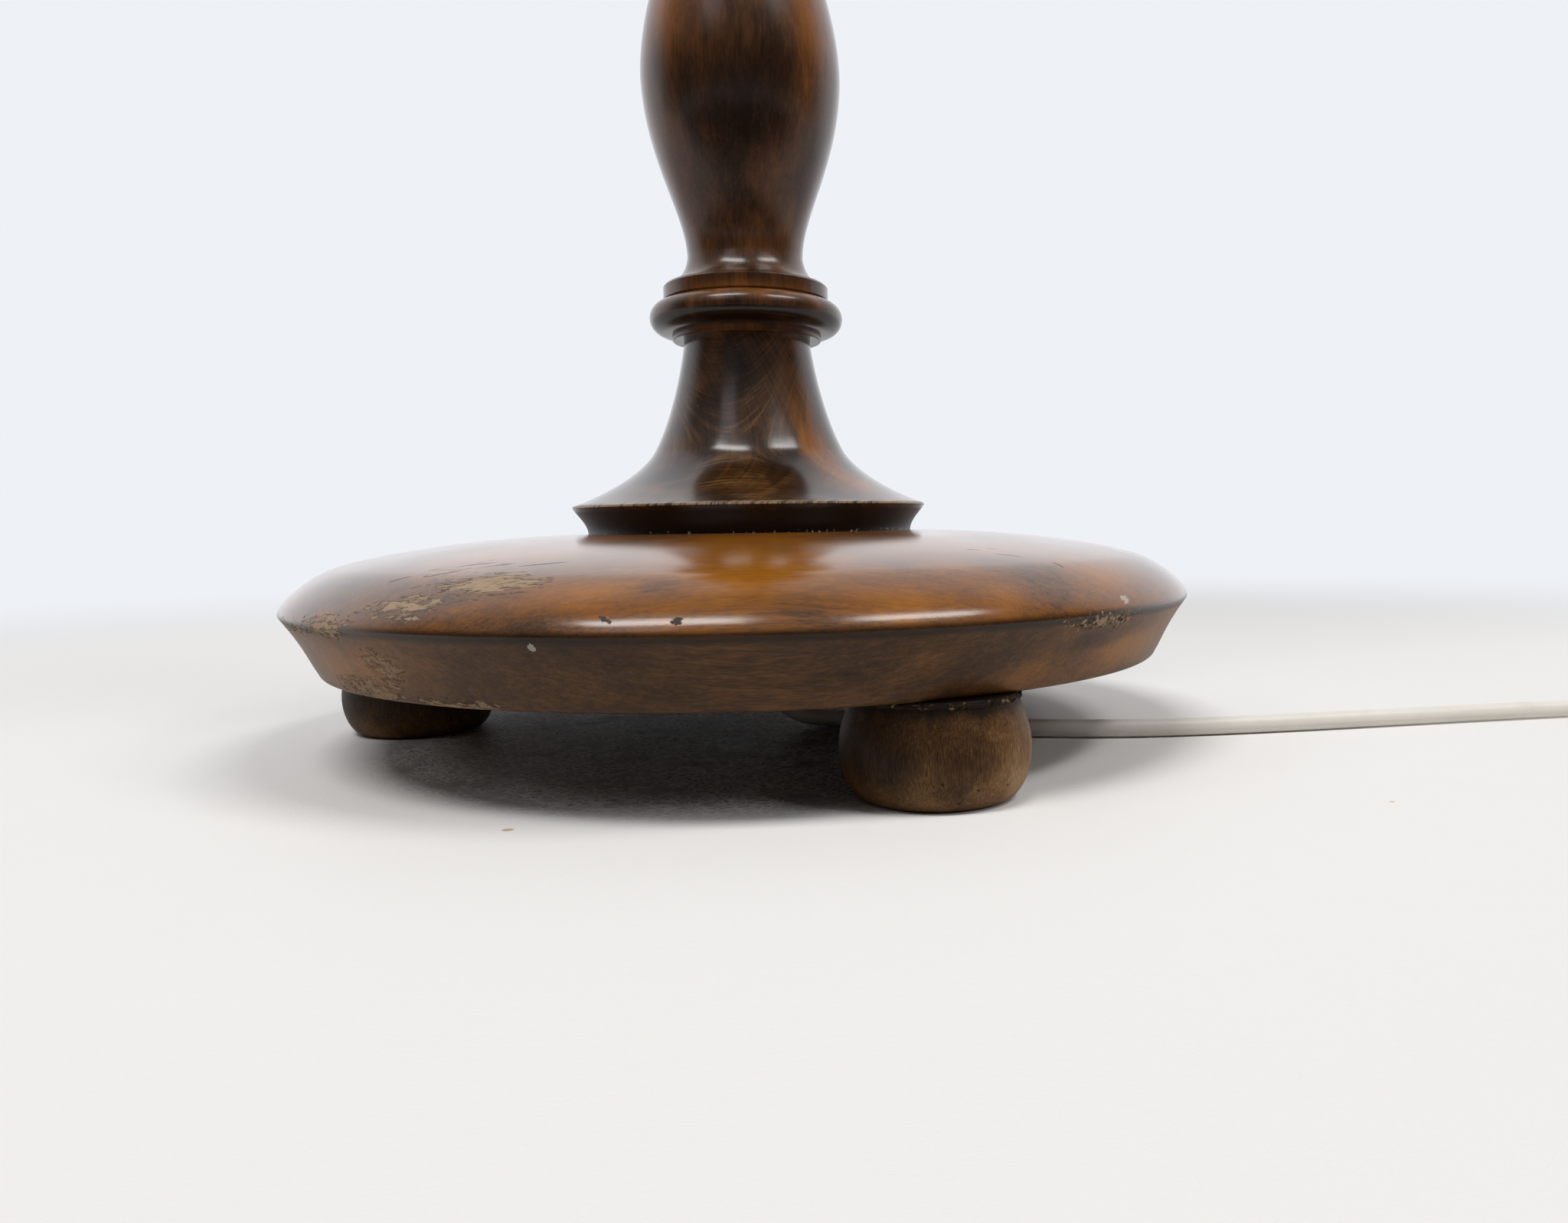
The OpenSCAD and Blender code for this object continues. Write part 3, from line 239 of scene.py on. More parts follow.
class Finish:
    def __init__(self, name, **constants):
        """constants are the shader's own sockets that are the same all over the surface."""
        self.material = bpy.data.materials.new(name)
        self.material.use_nodes = True
        self.tree = self.material.node_tree
        self.shader = self.tree.nodes["Principled BSDF"]
        self.set(**constants)
        self.place = self.node("ShaderNodeTexCoord", out="Object")

    def node(self, kind, settings=None, inputs=None, out=0):
        made = self.tree.nodes.new(kind)
        for key, setting in (settings or {}).items():
            if key == "stops":
                set_stops(made.color_ramp, setting)
            else:
                setattr(made, key, setting)
        for key, given in (inputs or {}).items():
            self.feed(made.inputs[key], given)
        return Value(self, made.outputs[out])

    def feed(self, socket, given):
        if isinstance(given, Value):
            self.tree.links.new(given.socket, socket)
        elif hasattr(given, "__len__") and len(given) == 3 and len(socket.default_value) == 4:
            socket.default_value = (*given, 1)
        else:
            socket.default_value = given

    def set(self, **sockets):
        for name, given in sockets.items():
            self.feed(self.shader.inputs[name.replace("_", " ")], given)

    def mapped(self, scale=1, centre=(0, 0, 0), turn=(0, 0, 0)):
        """The place on the object, seen from centre, turned back by turn and stretched."""
        if not hasattr(scale, "__len__"):
            scale = (scale, scale, scale)
        moved = self.node(
            "ShaderNodeVectorMath", {"operation": "SUBTRACT"}, {0: self.place, 1: centre}
        )
        turned = self.node(
            "ShaderNodeMapping", {"vector_type": "POINT"},
            {"Vector": moved, "Rotation": [radians(-a) for a in turn]},
        )
        return self.node(
            "ShaderNodeVectorMath", {"operation": "MULTIPLY"}, {0: turned, 1: scale}
        )

    def noise(self, where, detail=3, roughness=0.5, distortion=0):
        return self.node(
            "ShaderNodeTexNoise", None,
            {"Vector": where, "Scale": 1, "Detail": detail, "Roughness": roughness,
             "Distortion": distortion},
        )

    def grain(self, scale, detail=3, roughness=0.5, distortion=0):
        return self.noise(self.mapped(scale), detail, roughness, distortion)

    def noise_colour(self, where):
        """Three noises at once, as a vector that bends a pattern."""
        return self.node("ShaderNodeTexNoise", None, {"Vector": where, "Scale": 1}, out="Color")

    def coordinates(self, where=None):
        split = self.tree.nodes.new("ShaderNodeSeparateXYZ")
        self.feed(split.inputs[0], where or self.place)
        return [Value(self, socket) for socket in split.outputs]

    def vector(self, x=0, y=0, z=0):
        return self.node("ShaderNodeCombineXYZ", None, {0: x, 1: y, 2: z})

    def blob(self, centre, size, turn=(0, 0, 0)):
        """1 at centre, falling softly to 0 at the ellipsoid of that half size, in mm."""
        near = self.mapped(
            scale=[1 / (s * MM) for s in size], centre=Vector(centre) * MM, turn=turn
        )
        length = self.node("ShaderNodeVectorMath", {"operation": "LENGTH"}, {0: near}, "Value")
        return length.step(1, 0.15)

    def blend(self, share, a, b):
        return self.node("ShaderNodeMix", {"data_type": "RGBA"}, {0: share, 6: a, 7: b}, out=2)

    def ramp(self, share, stops):
        return self.node("ShaderNodeValToRGB", {"stops": stops}, {"Fac": share})

    def bump(self, height, depth_mm):
        """Relief: a height of 1 stands depth_mm over a height of 0."""
        normal = self.node(
            "ShaderNodeBump", None, {"Height": height, "Distance": depth_mm * MM, "Strength": 1}
        )
        self.set(Normal=normal)

    def mix_in(self, share, other):
        """Shows another shader node instead of the finish's own, by share."""
        mixed = self.tree.nodes.new("ShaderNodeMixShader")
        self.feed(mixed.inputs[0], share)
        self.tree.links.new(self.shader.outputs[0], mixed.inputs[1])
        self.tree.links.new(other.outputs[0], mixed.inputs[2])
        self.tree.links.new(mixed.outputs[0], self.tree.nodes["Material Output"].inputs[0])


# %% [markdown]
# ## Wood under shellac
# Birch is pale and even. The maker stained it dark, and the stain took unevenly, so amber shows
# through in patches. Shellac was rubbed on in many coats and polished. The film could be the
# shader's coat, but a coat ignores the bump below it, and here the turning lines and the fibres
# show in the shine. So the gloss is the wood's own, with a low roughness, and where feet and
# brooms have taken the film off, the roughness goes up and the colour is bare.

# %% Stain colours
# The first black is for painted shade, under the bell's lip and at the tops of the feet, and for the
# pits in the feet.
BLACK_SHADE_AND_PITS = (0.005, 0.0025, 0.0015)
DARK_STAIN = (0.020, 0.010, 0.005)
WALNUT = (0.062, 0.027, 0.011)
BARE = (0.32, 0.22, 0.135)
DUST = (0.55, 0.52, 0.47)
POLISHED = 0.18
WORN = 0.62


def shellac(name, level):
    return Finish(name, Specular_IOR_Level=level)


def fibres(finish, along, length, width):
    """Streaks along the axis 0, 1 or 2, of a length and width in mm."""
    scale = [1 / (width * MM)] * 3
    scale[along] = 1 / (length * MM)
    return finish.grain(scale, detail=4, roughness=0.6)


def layers(finish, centre, turn, thickness, length):
    """Growth layers: shells round a slanting pith, which a turned surface cuts into swirls."""
    around = finish.mapped(centre=Vector(centre) * MM, turn=turn)
    u, v, w = finish.coordinates(around)
    shell = (u * u + v * v) ** 0.5 * (1 / (thickness * MM))
    place = finish.vector(shell, w * (1 / (length * MM)), u * 12)
    return finish.noise(place, detail=4, roughness=0.62)


def band(z, height, reach):
    """0 at a height in mm, and 1 where z is reach mm over or under it."""
    return ((z - height * MM) * (1 / (reach * MM))).math("ABSOLUTE")


def stained(finish, tone, places):
    """Adds to tone, at each place in mm, how much paler or darker it is there: where the stain took
    unevenly, and at a few places painted light or shade.
    """
    for centre, size, change in places:
        tone = tone + finish.blob(centre, size) * change
    return tone


# %% Where the disc is paler or darker
CREASE_Z = 47
DISC_PLACES = [
    ((0, -128, 60), (40, 32, 14), 0.13), ((0, -98, 66), (34, 42, 12), 0.11),
    ((2, -62, 69), (34, 34, 9), 0.04), ((-38, -135, 55), (20, 13, 8), 0.12),
    ((30, -142, 53), (20, 9, 8), 0.10), ((61, -133, 53), (9, 12, 8), 0.12),
    ((47, -122, 60), (18, 11, 9), 0.08), ((96, -104, 57), (20, 15, 9), 0.10),
    ((-62, -96, 64), (40, 34, 10), 0.08), ((60, -92, 66), (40, 30, 10), 0.05),
    ((-49, -141, 50), (14, 10, 6), -0.08), ((-19, -138, 57), (13, 8, 6), -0.12),
    ((80, -122, 54), (14, 10, 8), -0.05), ((44, -143, 50), (10, 6, 5), -0.06),
    ((-84, -118, 52), (34, 14, 8), -0.09), ((120, -80, 54), (18, 26, 10), -0.05),
    ((26, -112, 64), (9, 7, 6), -0.05), ((66, -112, 60), (14, 6, 6), -0.05),
    ((-110, -70, 60), (46, 60, 14), -0.06), ((108, -60, 62), (40, 50, 14), -0.05),
    ((41, -138, 38), (13, 8, 6), 0.08), ((67, -124, 33), (20, 12, 6), 0.10),
    # The paler places low on the side at both ends, at 108 and -104 mm across, are painted sheen.
    ((108, -98, 36), (34, 34, 8), 0.20), ((84, -114, 40), (20, 14, 4), -0.08),
    ((-104, -98, 36), (38, 40, 10), 0.17),
]


# %% The disc's finish
def disc_finish(name, level):
    f = shellac(name, level)
    x, y, z = f.coordinates()
    radius = (x * x + y * y) ** 0.5

    clouds = f.noise(f.mapped((26, 42, 60), centre=(0.021, 0.013, 0)), 4, 0.55, 0.4)
    mottles = f.grain((110, 230, 230), 5, 0.65, 0.6)
    streaks = fibres(f, 0, 16, 0.8)
    fine = fibres(f, 0, 4.5, 0.20)
    tone = clouds * 0.32 + mottles * 0.28 + streaks * 0.30 + fine * 0.42 - 0.13
    tone = stained(f, tone, DISC_PLACES)
    top = f.ramp(tone, [
        (0.36, (0.042, 0.019, 0.008)), (0.45, (0.085, 0.036, 0.012)), (0.53, (0.145, 0.054, 0.012)),
        (0.62, (0.205, 0.070, 0.006)), (0.74, (0.27, 0.095, 0.006)),
    ])
    # Both ends of the side are painted paler, as sheen where they catch the light.
    painted_sheen_at_ends = x.math("ABSOLUTE").step(60 * MM, 135 * MM)
    edge_grain = f.ramp(tone - x.step(75 * MM, 40 * MM) * 0.03 + painted_sheen_at_ends * 0.14, [
        (0.36, (0.022, 0.010, 0.004)), (0.47, (0.046, 0.020, 0.006)), (0.57, (0.085, 0.036, 0.010)),
        (0.68, (0.15, 0.060, 0.014)), (0.80, (0.24, 0.095, 0.016)),
    ])
    side = z.step((CREASE_Z + 1.2) * MM, (CREASE_Z - 1) * MM)
    near_bell_dark = radius.step(75 * MM, 60 * MM) * 0.45
    wood = f.blend(side, f.blend(near_bell_dark, top, (0.10, 0.036, 0.008)), edge_grain)

    # The dark band along the crease is painted shade: there the rim mirrors the dark room in front.
    crease = band(z, CREASE_Z, 2.3).step(1, 0.2)
    crease = crease * radius.step(144 * MM, 148 * MM) * (0.45 + mottles * 0.7)
    wood = f.blend(crease.clamped(), wood, (0.009, 0.0045, 0.002))

    worn = disc_wear(f, z, radius)
    ground = f.blend(streaks.step(0.50, 0.70), BARE, WALNUT)
    wood = f.blend(worn["bare"], wood, ground)
    wood = f.blend(worn["edge"], wood, DARK_STAIN)
    wood = f.blend(worn["dust"], wood, DUST)

    turning = f.noise(f.vector(radius * 520, z * 520), 3, 0.6)
    rubbed = f.grain(24, 3, 0.6)
    gloss = side * 0.24 + rubbed * 0.10 + streaks * 0.05 + (POLISHED - 0.075)
    f.set(Base_Color=wood, Roughness=(gloss + worn["film_gone"] * (WORN - POLISHED)).clamped())

    near_bell = radius.step(112 * MM, 60 * MM)
    relief = turning * (near_bell * 0.7 + 0.25) + streaks * 0.35 + fine * 0.15
    f.bump(relief - worn["bare"] * 2.4 - worn["edge"] * 1.8, 0.03)
    return f.material


# %% Wear on the disc
def torn(patch, noise, threshold):
    """A soft patch with a ragged edge: 1 where patch and noise together pass the threshold."""
    return (noise + patch * 0.34).step(threshold + 0.10, threshold + 0.13) * patch.step(0.02, 0.2)


def disc_wear(f, z, radius):
    """Where the film is gone: flakes at the left, specks on the rim, scratches and chips."""
    ragged = f.noise(f.mapped((85, 560, 620), turn=(0, 0, -16)), 6, 0.66, 0.4)
    crumbs = f.grain(750, 3, 0.6)

    flakes = f.blob((-62, -122, 58), (34, 14, 8), turn=(0, 0, -16))
    flakes = flakes.most(f.blob((-84, -118, 53), (30, 13, 7), turn=(0, 0, -26)) * 0.95)
    flakes = flakes.most(f.blob((-108, -102, 48), (26, 18, 6), turn=(0, 0, -42)))
    low_edge = f.blob((-100, -99, 31), (36, 36, 7)).most(f.blob((-74, -119, 29), (44, 18, 4)))
    low_edge = low_edge.most(f.blob((-92, -110, 38), (14, 14, 10)))
    bare = torn(flakes, ragged, 0.68).most(torn(low_edge, ragged, 0.68) * 0.8)
    edge = (torn(flakes, ragged, 0.65).most(torn(low_edge, ragged, 0.655)) - bare).clamped()

    near_crease = band(z, CREASE_Z - 1.2, 4.5).step(1, 0.1)
    near_crease = near_crease * radius.step(142 * MM, 145 * MM)
    speckled = f.blob((92, -116, 45), (34, 26, 8)).most(f.blob((-124, -82, 47), (26, 36, 8)))
    specks = (crumbs + near_crease * speckled * 0.20).step(0.70, 0.73) * speckled.step(0, 0.2)
    pits = (1 - crumbs + near_crease * speckled * 0.16).step(0.71, 0.74) * speckled.step(0, 0.2)

    hairs = f.noise(f.mapped((70, 1500, 1500), turn=(0, 0, 5)), 1, 0.4)
    scratch = hairs.step(0.66, 0.70) * f.blob((-73, -106, 62), (16, 12, 6)).step(0.05, 0.3)
    for centre, size, turn in SCRATCHES:
        scratch = scratch.most(f.blob(centre, size, (0, 0, turn)).step(0.1, 0.5))
    chips = f.blob((-34, -145, 51.5), (3.4, 3, 0.9), (0, 24, 0))
    chips = chips.most(f.blob((-17.6, -148, 51.0), (2.4, 3, 1.3)))
    chips = chips.most(f.blob((-25.5, -133.5, 58.4), (1.0, 1.3, 1.0)))
    chips = torn(chips, crumbs, 0.52)

    dust = f.blob((-50.6, -139.5, 45), (1.3, 3, 1.7)).most(f.blob((99.8, -110.2, 50.6), (2.6, 2.4, 1.8)))
    dust = torn(dust, crumbs, 0.52) * 0.45
    at_joint = radius.step(64 * MM, 57.5 * MM) * z.step(69 * MM, 69.4 * MM)
    dust = dust.most((crumbs + at_joint * 0.08).step(0.785, 0.805) * at_joint.step(0, 0.1))

    bare = bare.most(specks * 0.9)
    edge = edge.most(pits).most(scratch * 0.9).most(chips).clamped()
    return {"bare": bare, "edge": edge, "dust": dust, "film_gone": bare.most(edge)}


SCRATCHES = [
    ((-52, -113, 63), (9, 0.5, 3), -4), ((-78, -108, 61), (7, 0.45, 3), -6),
    ((-70, -103, 62.5), (8, 0.4, 3), -3), ((-85, -112, 59.5), (6, 0.45, 3), -10),
    ((-63, -108, 62), (6, 0.4, 3), -2), ((-90, -103, 60), (5, 0.4, 3), -8),
    ((69, -105, 63), (5, 0.35, 3), -4), ((82, -108, 60.5), (3.2, 0.4, 3), -50),
    ((60, -101, 65), (3, 0.35, 3), 2), ((66, -97, 66), (3, 0.3, 3), 0),
    ((112, -78, 62), (2.5, 0.5, 3), -8),
]


# %% The column's finish
def column_finish():
    f = shellac("column_shellac", 0.36)
    z = f.coordinates()[2]
    clouds = f.grain((52, 52, 16), 5, 0.6, 0.5)
    mottles = f.grain((150, 150, 60), 4, 0.62, 0.6)
    streaks = fibres(f, 2, 24, 0.8)
    fine = fibres(f, 2, 7, 0.25)
    tone = clouds * 0.42 + mottles * 0.24 + streaks * 0.14 + fine * 0.16 + 0.045
    tone = stained(f, tone, [
        ((-22, -26, 240), (16, 18, 28), 0.14), ((6, -34, 252), (11, 14, 22), 0.17),
        ((25, -24, 240), (18, 18, 36), 0.19), ((0, -34, 206), (26, 24, 26), -0.12),
        ((2, -20, 166), (26, 12, 6), 0.02), ((16, -16, 174), (8, 10, 10), 0.04),
        # The paler band across the front of the collar is a painted highlight.
        ((0, -33, 148.5), (44, 34, 5), 0.13),
    ])
    # A darker band just under the collar bead is painted shade.
    low = band(z, 140.5, 3).step(1, 0.4)
    tone = tone - low * 0.14
    wood = f.ramp(tone, [
        (0.36, (0.010, 0.004, 0.0015)), (0.46, (0.027, 0.011, 0.004)), (0.56, (0.072, 0.027, 0.008)),
        (0.68, (0.16, 0.055, 0.012)), (0.82, (0.27, 0.088, 0.012)),
    ])
    rubbed = f.grain((30, 30, 18), 3, 0.6)
    f.set(Base_Color=wood, Roughness=rubbed * 0.14 + streaks * 0.06 + (POLISHED - 0.06))
    f.bump(streaks * 0.5 + fine * 0.25 + f.grain((90, 90, 30), 2) * 1.2, 0.03)
    return f.material


# %% The bell's finish
def bell_finish():
    f = shellac("bell_shellac", 0.40)
    z = f.coordinates()[2]
    clouds = f.grain((44, 44, 40), 5, 0.6, 0.8)
    swirl = layers(f, (-34, 30, 40), (38, -30, 0), 0.9, 30)
    hairs = layers(f, (30, 60, 60), (-20, 48, 10), 0.45, 16)
    tone = clouds * 0.46 + swirl * 0.24 + hairs * 0.20 + 0.045
    tone = stained(f, tone, [
        ((18, -22, 110), (12, 16, 22), 0.16), ((34, -36, 86), (20, 22, 10), 0.20),
        ((25, -27, 96), (14, 16, 14), 0.20), ((0, -34, 122), (14, 20, 18), -0.08),
        ((-30, -28, 96), (20, 20, 22), -0.01), ((0, -48, 84), (40, 20, 10), 0.03),
    ])
    wood = f.ramp(tone, [
        (0.38, (0.010, 0.0045, 0.002)), (0.48, (0.028, 0.012, 0.004)), (0.58, (0.075, 0.030, 0.009)),
        (0.70, (0.17, 0.060, 0.012)), (0.84, (0.30, 0.095, 0.008)),
    ])
    golden = hairs.step(0.54, 0.70) * clouds.step(0.36, 0.54) * z.step(136 * MM, 92 * MM)
    wood = f.blend(golden * 0.5, wood, (0.16, 0.098, 0.036))
    # Below the lip the bell is painted nearly black, as painted shade in the undercut.
    painted_shade_below_lip = z.step(78.0 * MM, 76.4 * MM)
    wood = f.blend(painted_shade_below_lip * 0.85, wood, BLACK_SHADE_AND_PITS)
    lip = band(z, 78.9, 0.9).step(1, 0.2)
    wood = f.blend(lip * swirl.step(0.36, 0.56) * 0.8, wood, BARE)
    foot_dust = z.step(70.6 * MM, 69.9 * MM) * f.grain(800, 2).step(0.62, 0.66)
    wood = f.blend(foot_dust, wood, DUST)
    rubbed = f.grain((40, 40, 30), 3, 0.6)
    f.set(Base_Color=wood, Roughness=rubbed * 0.14 + painted_shade_below_lip * 0.2 + lip * 0.2 + (POLISHED - 0.06))
    turning = f.noise(f.vector(z * 700), 3, 0.6)
    f.bump(hairs * 0.35 + turning * 0.45, 0.03)
    return f.material


# %% The feet's finish
def foot_finish():
    """A foot has hardly any film: waxed, paler low down, and dark at its top, which is painted shade
    beneath the disc.
    """
    f = Finish("foot_wax", Specular_IOR_Level=0.14)
    z = f.coordinates()[2]
    clouds = f.grain((90, 90, 60), 5, 0.62, 0.5)
    streaks = fibres(f, 2, 6, 0.4)
    fine = fibres(f, 2, 3, 0.16)
    grime = f.grain(170, 5, 0.66)
    low = z.step(15 * MM, 3 * MM)
    tone = clouds * 0.38 + streaks * 0.34 + fine * 0.42 + low * 0.14 - 0.11
    tone = stained(f, tone, [
        ((68, -128, 13), (20, 22, 22), 0.22), ((26, -134, 14), (14, 14, 20), -0.07),
        # The left foot is painted darker all over, as painted shade: it stands in the disc's shade.
        ((-121, 16, 14), (34, 34, 20), -0.28),
    ])
    wood = f.ramp(tone, [
        (0.28, (0.004, 0.002, 0.001)), (0.42, (0.024, 0.011, 0.0035)), (0.54, (0.062, 0.029, 0.009)),
        (0.66, (0.150, 0.075, 0.028)), (0.80, (0.30, 0.18, 0.08)),
    ])
    # The top of each foot, beneath the disc, is painted dark as shade; noise makes its edge ragged.
    top = (z + (grime - 0.5) * (7 * MM)).step(22.5 * MM, 26.5 * MM)
    pits = f.grain(420, 2, 0.5).step(0.68, 0.72) * z.step(13 * MM, 8 * MM)
    wood = f.blend((top * 0.85).most(pits * 0.75), wood, BLACK_SHADE_AND_PITS)
    f.set(Base_Color=wood, Roughness=grime * 0.25 + 0.38)
    f.bump(streaks * 1.0 + fine * 0.7 + grime * 0.6 - pits * 1.6, 0.05)
    return f.material


# %% [markdown]
# ## Turning on the lathe
# Every wooden section is round, so it is made as the turner makes it, from one outline. A
# cylinder with sculpted rings would also do, but an outline spun round the axis is the real
# process: one vertex is extruded along the outline, and the spin operator turns it. Curves in
# the outline are Bezier stretches with the same handles as the construction.

# %% Outlines
def curve(a, b, c, d, steps=22):
    """A smooth curve from a to d that sets out towards b and comes in from c."""
    points = []
    for i in range(steps + 1):
        t = i / steps
        s = 1 - t
        shares = (s ** 3, 3 * s * s * t, 3 * s * t * t, t ** 3)
        points.append(tuple(sum(k * p[n] for k, p in zip(shares, (a, b, c, d))) for n in (0, 1)))
    return points


def arc(x, z, r, start, end, steps=14):
    turns = [radians(start + (end - start) * i / steps) for i in range(steps + 1)]
    return [(x + r * cos(t), z + r * sin(t)) for t in turns]


def bead(diameter, z, r):
    return arc(diameter / 2 - r, z, r, -90, 90)


def raised(outline, z):
    return [(r, height + z) for r, height in outline]


# %% The lathe
def start_piece():
    """Nothing stays selected, so that an operator acts on the new piece alone."""
    if bpy.context.mode != "OBJECT":
        bpy.ops.object.mode_set(mode="OBJECT")
    bpy.ops.object.select_all(action="DESELECT")


def place_in_mesh():
    """Writes the new piece's place, turn and size into its mesh."""
    bpy.ops.object.transform_apply(location=True, rotation=True, scale=True)


def edit_all():
    bpy.ops.object.mode_set(mode="EDIT")
    bpy.ops.mesh.select_all(action="SELECT")


def leave_edit():
    bpy.ops.object.mode_set(mode="OBJECT")


SAME_PLACE = 0.0001 * MM
WELD = 0.002 * MM


def turned(name, outline, steps=160, centre=(0, 0), closed=True, angle=32):
    """Extrudes a vertex along an outline in mm and spins it about the vertical through centre."""
    start_piece()
    axis_x, axis_y = (c * MM for c in centre)
    points = [Vector((axis_x + r * MM, axis_y, z * MM)) for r, z in outline]
    if closed:
        points.append(points[0])
    bpy.ops.mesh.primitive_plane_add(size=1 * MM, location=points[0])
    piece = bpy.context.object
    piece.name = name
    piece.data.name = name
    place_in_mesh()
    edit_all()
    bpy.ops.mesh.merge(type="CENTER")
    for a, b in zip(points, points[1:]):
        if (b - a).length > SAME_PLACE:
            bpy.ops.mesh.extrude_region_move(TRANSFORM_OT_translate={"value": b - a})
    bpy.ops.mesh.select_all(action="SELECT")
    bpy.ops.mesh.spin(
        steps=steps, angle=2 * pi, center=(axis_x, axis_y, 0), axis=(0, 0, 1),
        use_auto_merge=True,
    )
    bpy.ops.mesh.select_all(action="SELECT")
    bpy.ops.mesh.remove_doubles(threshold=WELD)
    bpy.ops.mesh.normals_make_consistent(inside=False)
    leave_edit()
    bpy.ops.object.shade_smooth_by_angle(angle=radians(angle))
    return piece


def dress(piece, material):
    piece.data.materials.clear()
    piece.data.materials.append(material)
    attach(piece, "stand")


def stands_for(piece, node, material):
    """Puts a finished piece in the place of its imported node."""
    dress(piece, material)
    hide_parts(node)
    low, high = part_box(node)
    print(f"{piece.name}: {len(piece.data.polygons)} faces, {round((high.z - low.z) / MM, 1)} mm high")


# %% [markdown]
# ## The disc
# A flat cake of birch, 300 mm wide. Its underside has a hollow for the nut, its side leans in
# below a sharp crease, and over the crease a rounded shoulder runs up to a low dome. The crease
# could be cut as a groove, but it is only two curves that meet at an angle. Its dark line is
# painted shade in the finish.

# %% The disc's outline
DISC_Z = 28
DISC_H = 41.6
TUBE_BORE = 5.4
disc_outline = (
    [(TUBE_BORE, 20), (32, 20), (32, 0)]
    + curve((137, 0), (138.7, 0), (139.7, 0.5), (140.2, 2), 8)
    + curve((140.2, 2), (142.5, 6), (143.5, 10), (149.8, 19), 26)[1:]
    + curve((150, 19.4), (150, 22.6), (141.5, 30.5), (133, 33), 30)
    + curve((133, 33), (118, 37.4), (88, 41.2), (57, 41.6), 30)[1:]
    + [(20.15, 41.6), (20.15, 31.1), (TUBE_BORE, 31.1)]
)
disc = turned("disc", raised(disc_outline, DISC_Z), steps=288, angle=25)
stands_for(disc, "base_disc", disc_finish("disc_shellac", 0.43))

# %% Less shine on the side, where the film is thin
disc.data.materials.append(disc_finish("disc_edge_shellac", 0.20))
for face in disc.data.polygons:
    if face.center.z < (CREASE_Z + 0.3) * MM:
        face.material_index = 1

# %% [markdown]
# ## The bun feet
# Three feet, each a squat ball, flat below, and wider at half height than at its top. A sphere
# could be squashed to that, but the flat sole and the peg that is glued in the disc are simple
# in an outline, so the feet are turned too, each about its own axis.

# %% Feet
FOOT_RING = 121.8
FOOT_TURN = -67.4
FEET = {}
for number, node in enumerate(("foot_front", "foot_back", "foot_left")):
    turn = radians(FOOT_TURN + 120 * number)
    FEET[node] = (FOOT_RING * cos(turn), FOOT_RING * sin(turn))
foot_outline = (
    [(0, 0)]
    + curve((18.8, 0), (22.5, 0.2), (25.6, 6.5), (25.6, 13), 16)
    + curve((25.6, 13), (25.6, 19), (23.6, 22), (22.1, 27.5), 16)[1:]
    + [(21.6, 28), (8, 28), (8, 43), (7, 44), (0, 44)]
)
foot_wood = foot_finish()
for node, place in FEET.items():
    foot = turned(f"bun_{node}", foot_outline, steps=96, centre=place, closed=False)
    stands_for(foot, node, foot_wood)

# %% [markdown]
# ## The bell foot and the two stems
# The bell spreads the column's load over the disc. Above it the lower stem starts with a thin
# lip, a round collar and a flat ring, and then swells into a vase. They could be one long
# outline, but a lathe holds only so much, so real columns are joined by tenons. The outlines
# keep those, and the bore for the tube.

# %% The bell foot
BELL_Z = DISC_Z + DISC_H
BELL_H = 66.4
bell_outline = (
    [(TUBE_BORE, -10), (19, -10), (20, -9), (20, 0)]
    + curve((56.4, 0), (56.6, 3.4), (59.5, 5.8), (61.5, 8.8), 14)
    + curve((61.3, 9.4), (48.5, 13.9), (37, 21.4), (33.2, 27.9), 26)
    + curve((33.2, 27.9), (29, 35.4), (24.6, 48.4), (22, 65.4), 26)[1:]
    + [(22, BELL_H), (12, BELL_H), (12, BELL_H + 17), (11, BELL_H + 18), (TUBE_BORE, BELL_H + 18)]
)
bell = turned("bell", raised(bell_outline, BELL_Z), steps=192)
stands_for(bell, "bell_foot", bell_finish())

# %% The lower stem
STEM_Z = BELL_Z + BELL_H
LOWER_H = 504
socket = [(TUBE_BORE, 18.5), (12.15, 18.5), (12.15, 0)]
lower_outline = (
    socket
    + [(25.6, 0), (26, 0.4), (26, 2)]
    + arc(28.1, 7.6, 5.4, -80, 80, 22)
    + [(28, 13.3), (28.6, 13.8), (28.6, 18), (27.9, 18.8), (25, 19.3)]
    + curve((25, 19.6), (22.3, 21.2), (20.4, 24.7), (20, 28.7), 12)
    + curve((20, 28.7), (20.2, 44.2), (33.2, 61), (34.1, 88), 34)[1:]
    + curve((34.1, 88), (34.1, 116), (19.5, 132), (17, 194), 36)[1:]
    + [(19, 195.5), (19, 197)]
    + bead(44, 201.5, 4)
    + [(18.5, 206.5)]
    + curve((19.5, 212), (22.5, 262), (19.5, 380), (17, 470), 30)
    + bead(41, 475, 3.5)
    + [(18, 480), (18, 484)]
    + curve((18, 484), (18, 490), (18, 496), (20, 501), 12)[1:]
    + [(20, LOWER_H), (12, LOWER_H), (12, LOWER_H + 17), (11, LOWER_H + 18), (TUBE_BORE, LOWER_H + 18)]
)
column_wood = column_finish()
lower = turned("vase_stem", raised(lower_outline, STEM_Z), steps=160)
stands_for(lower, "lower_stem", column_wood)

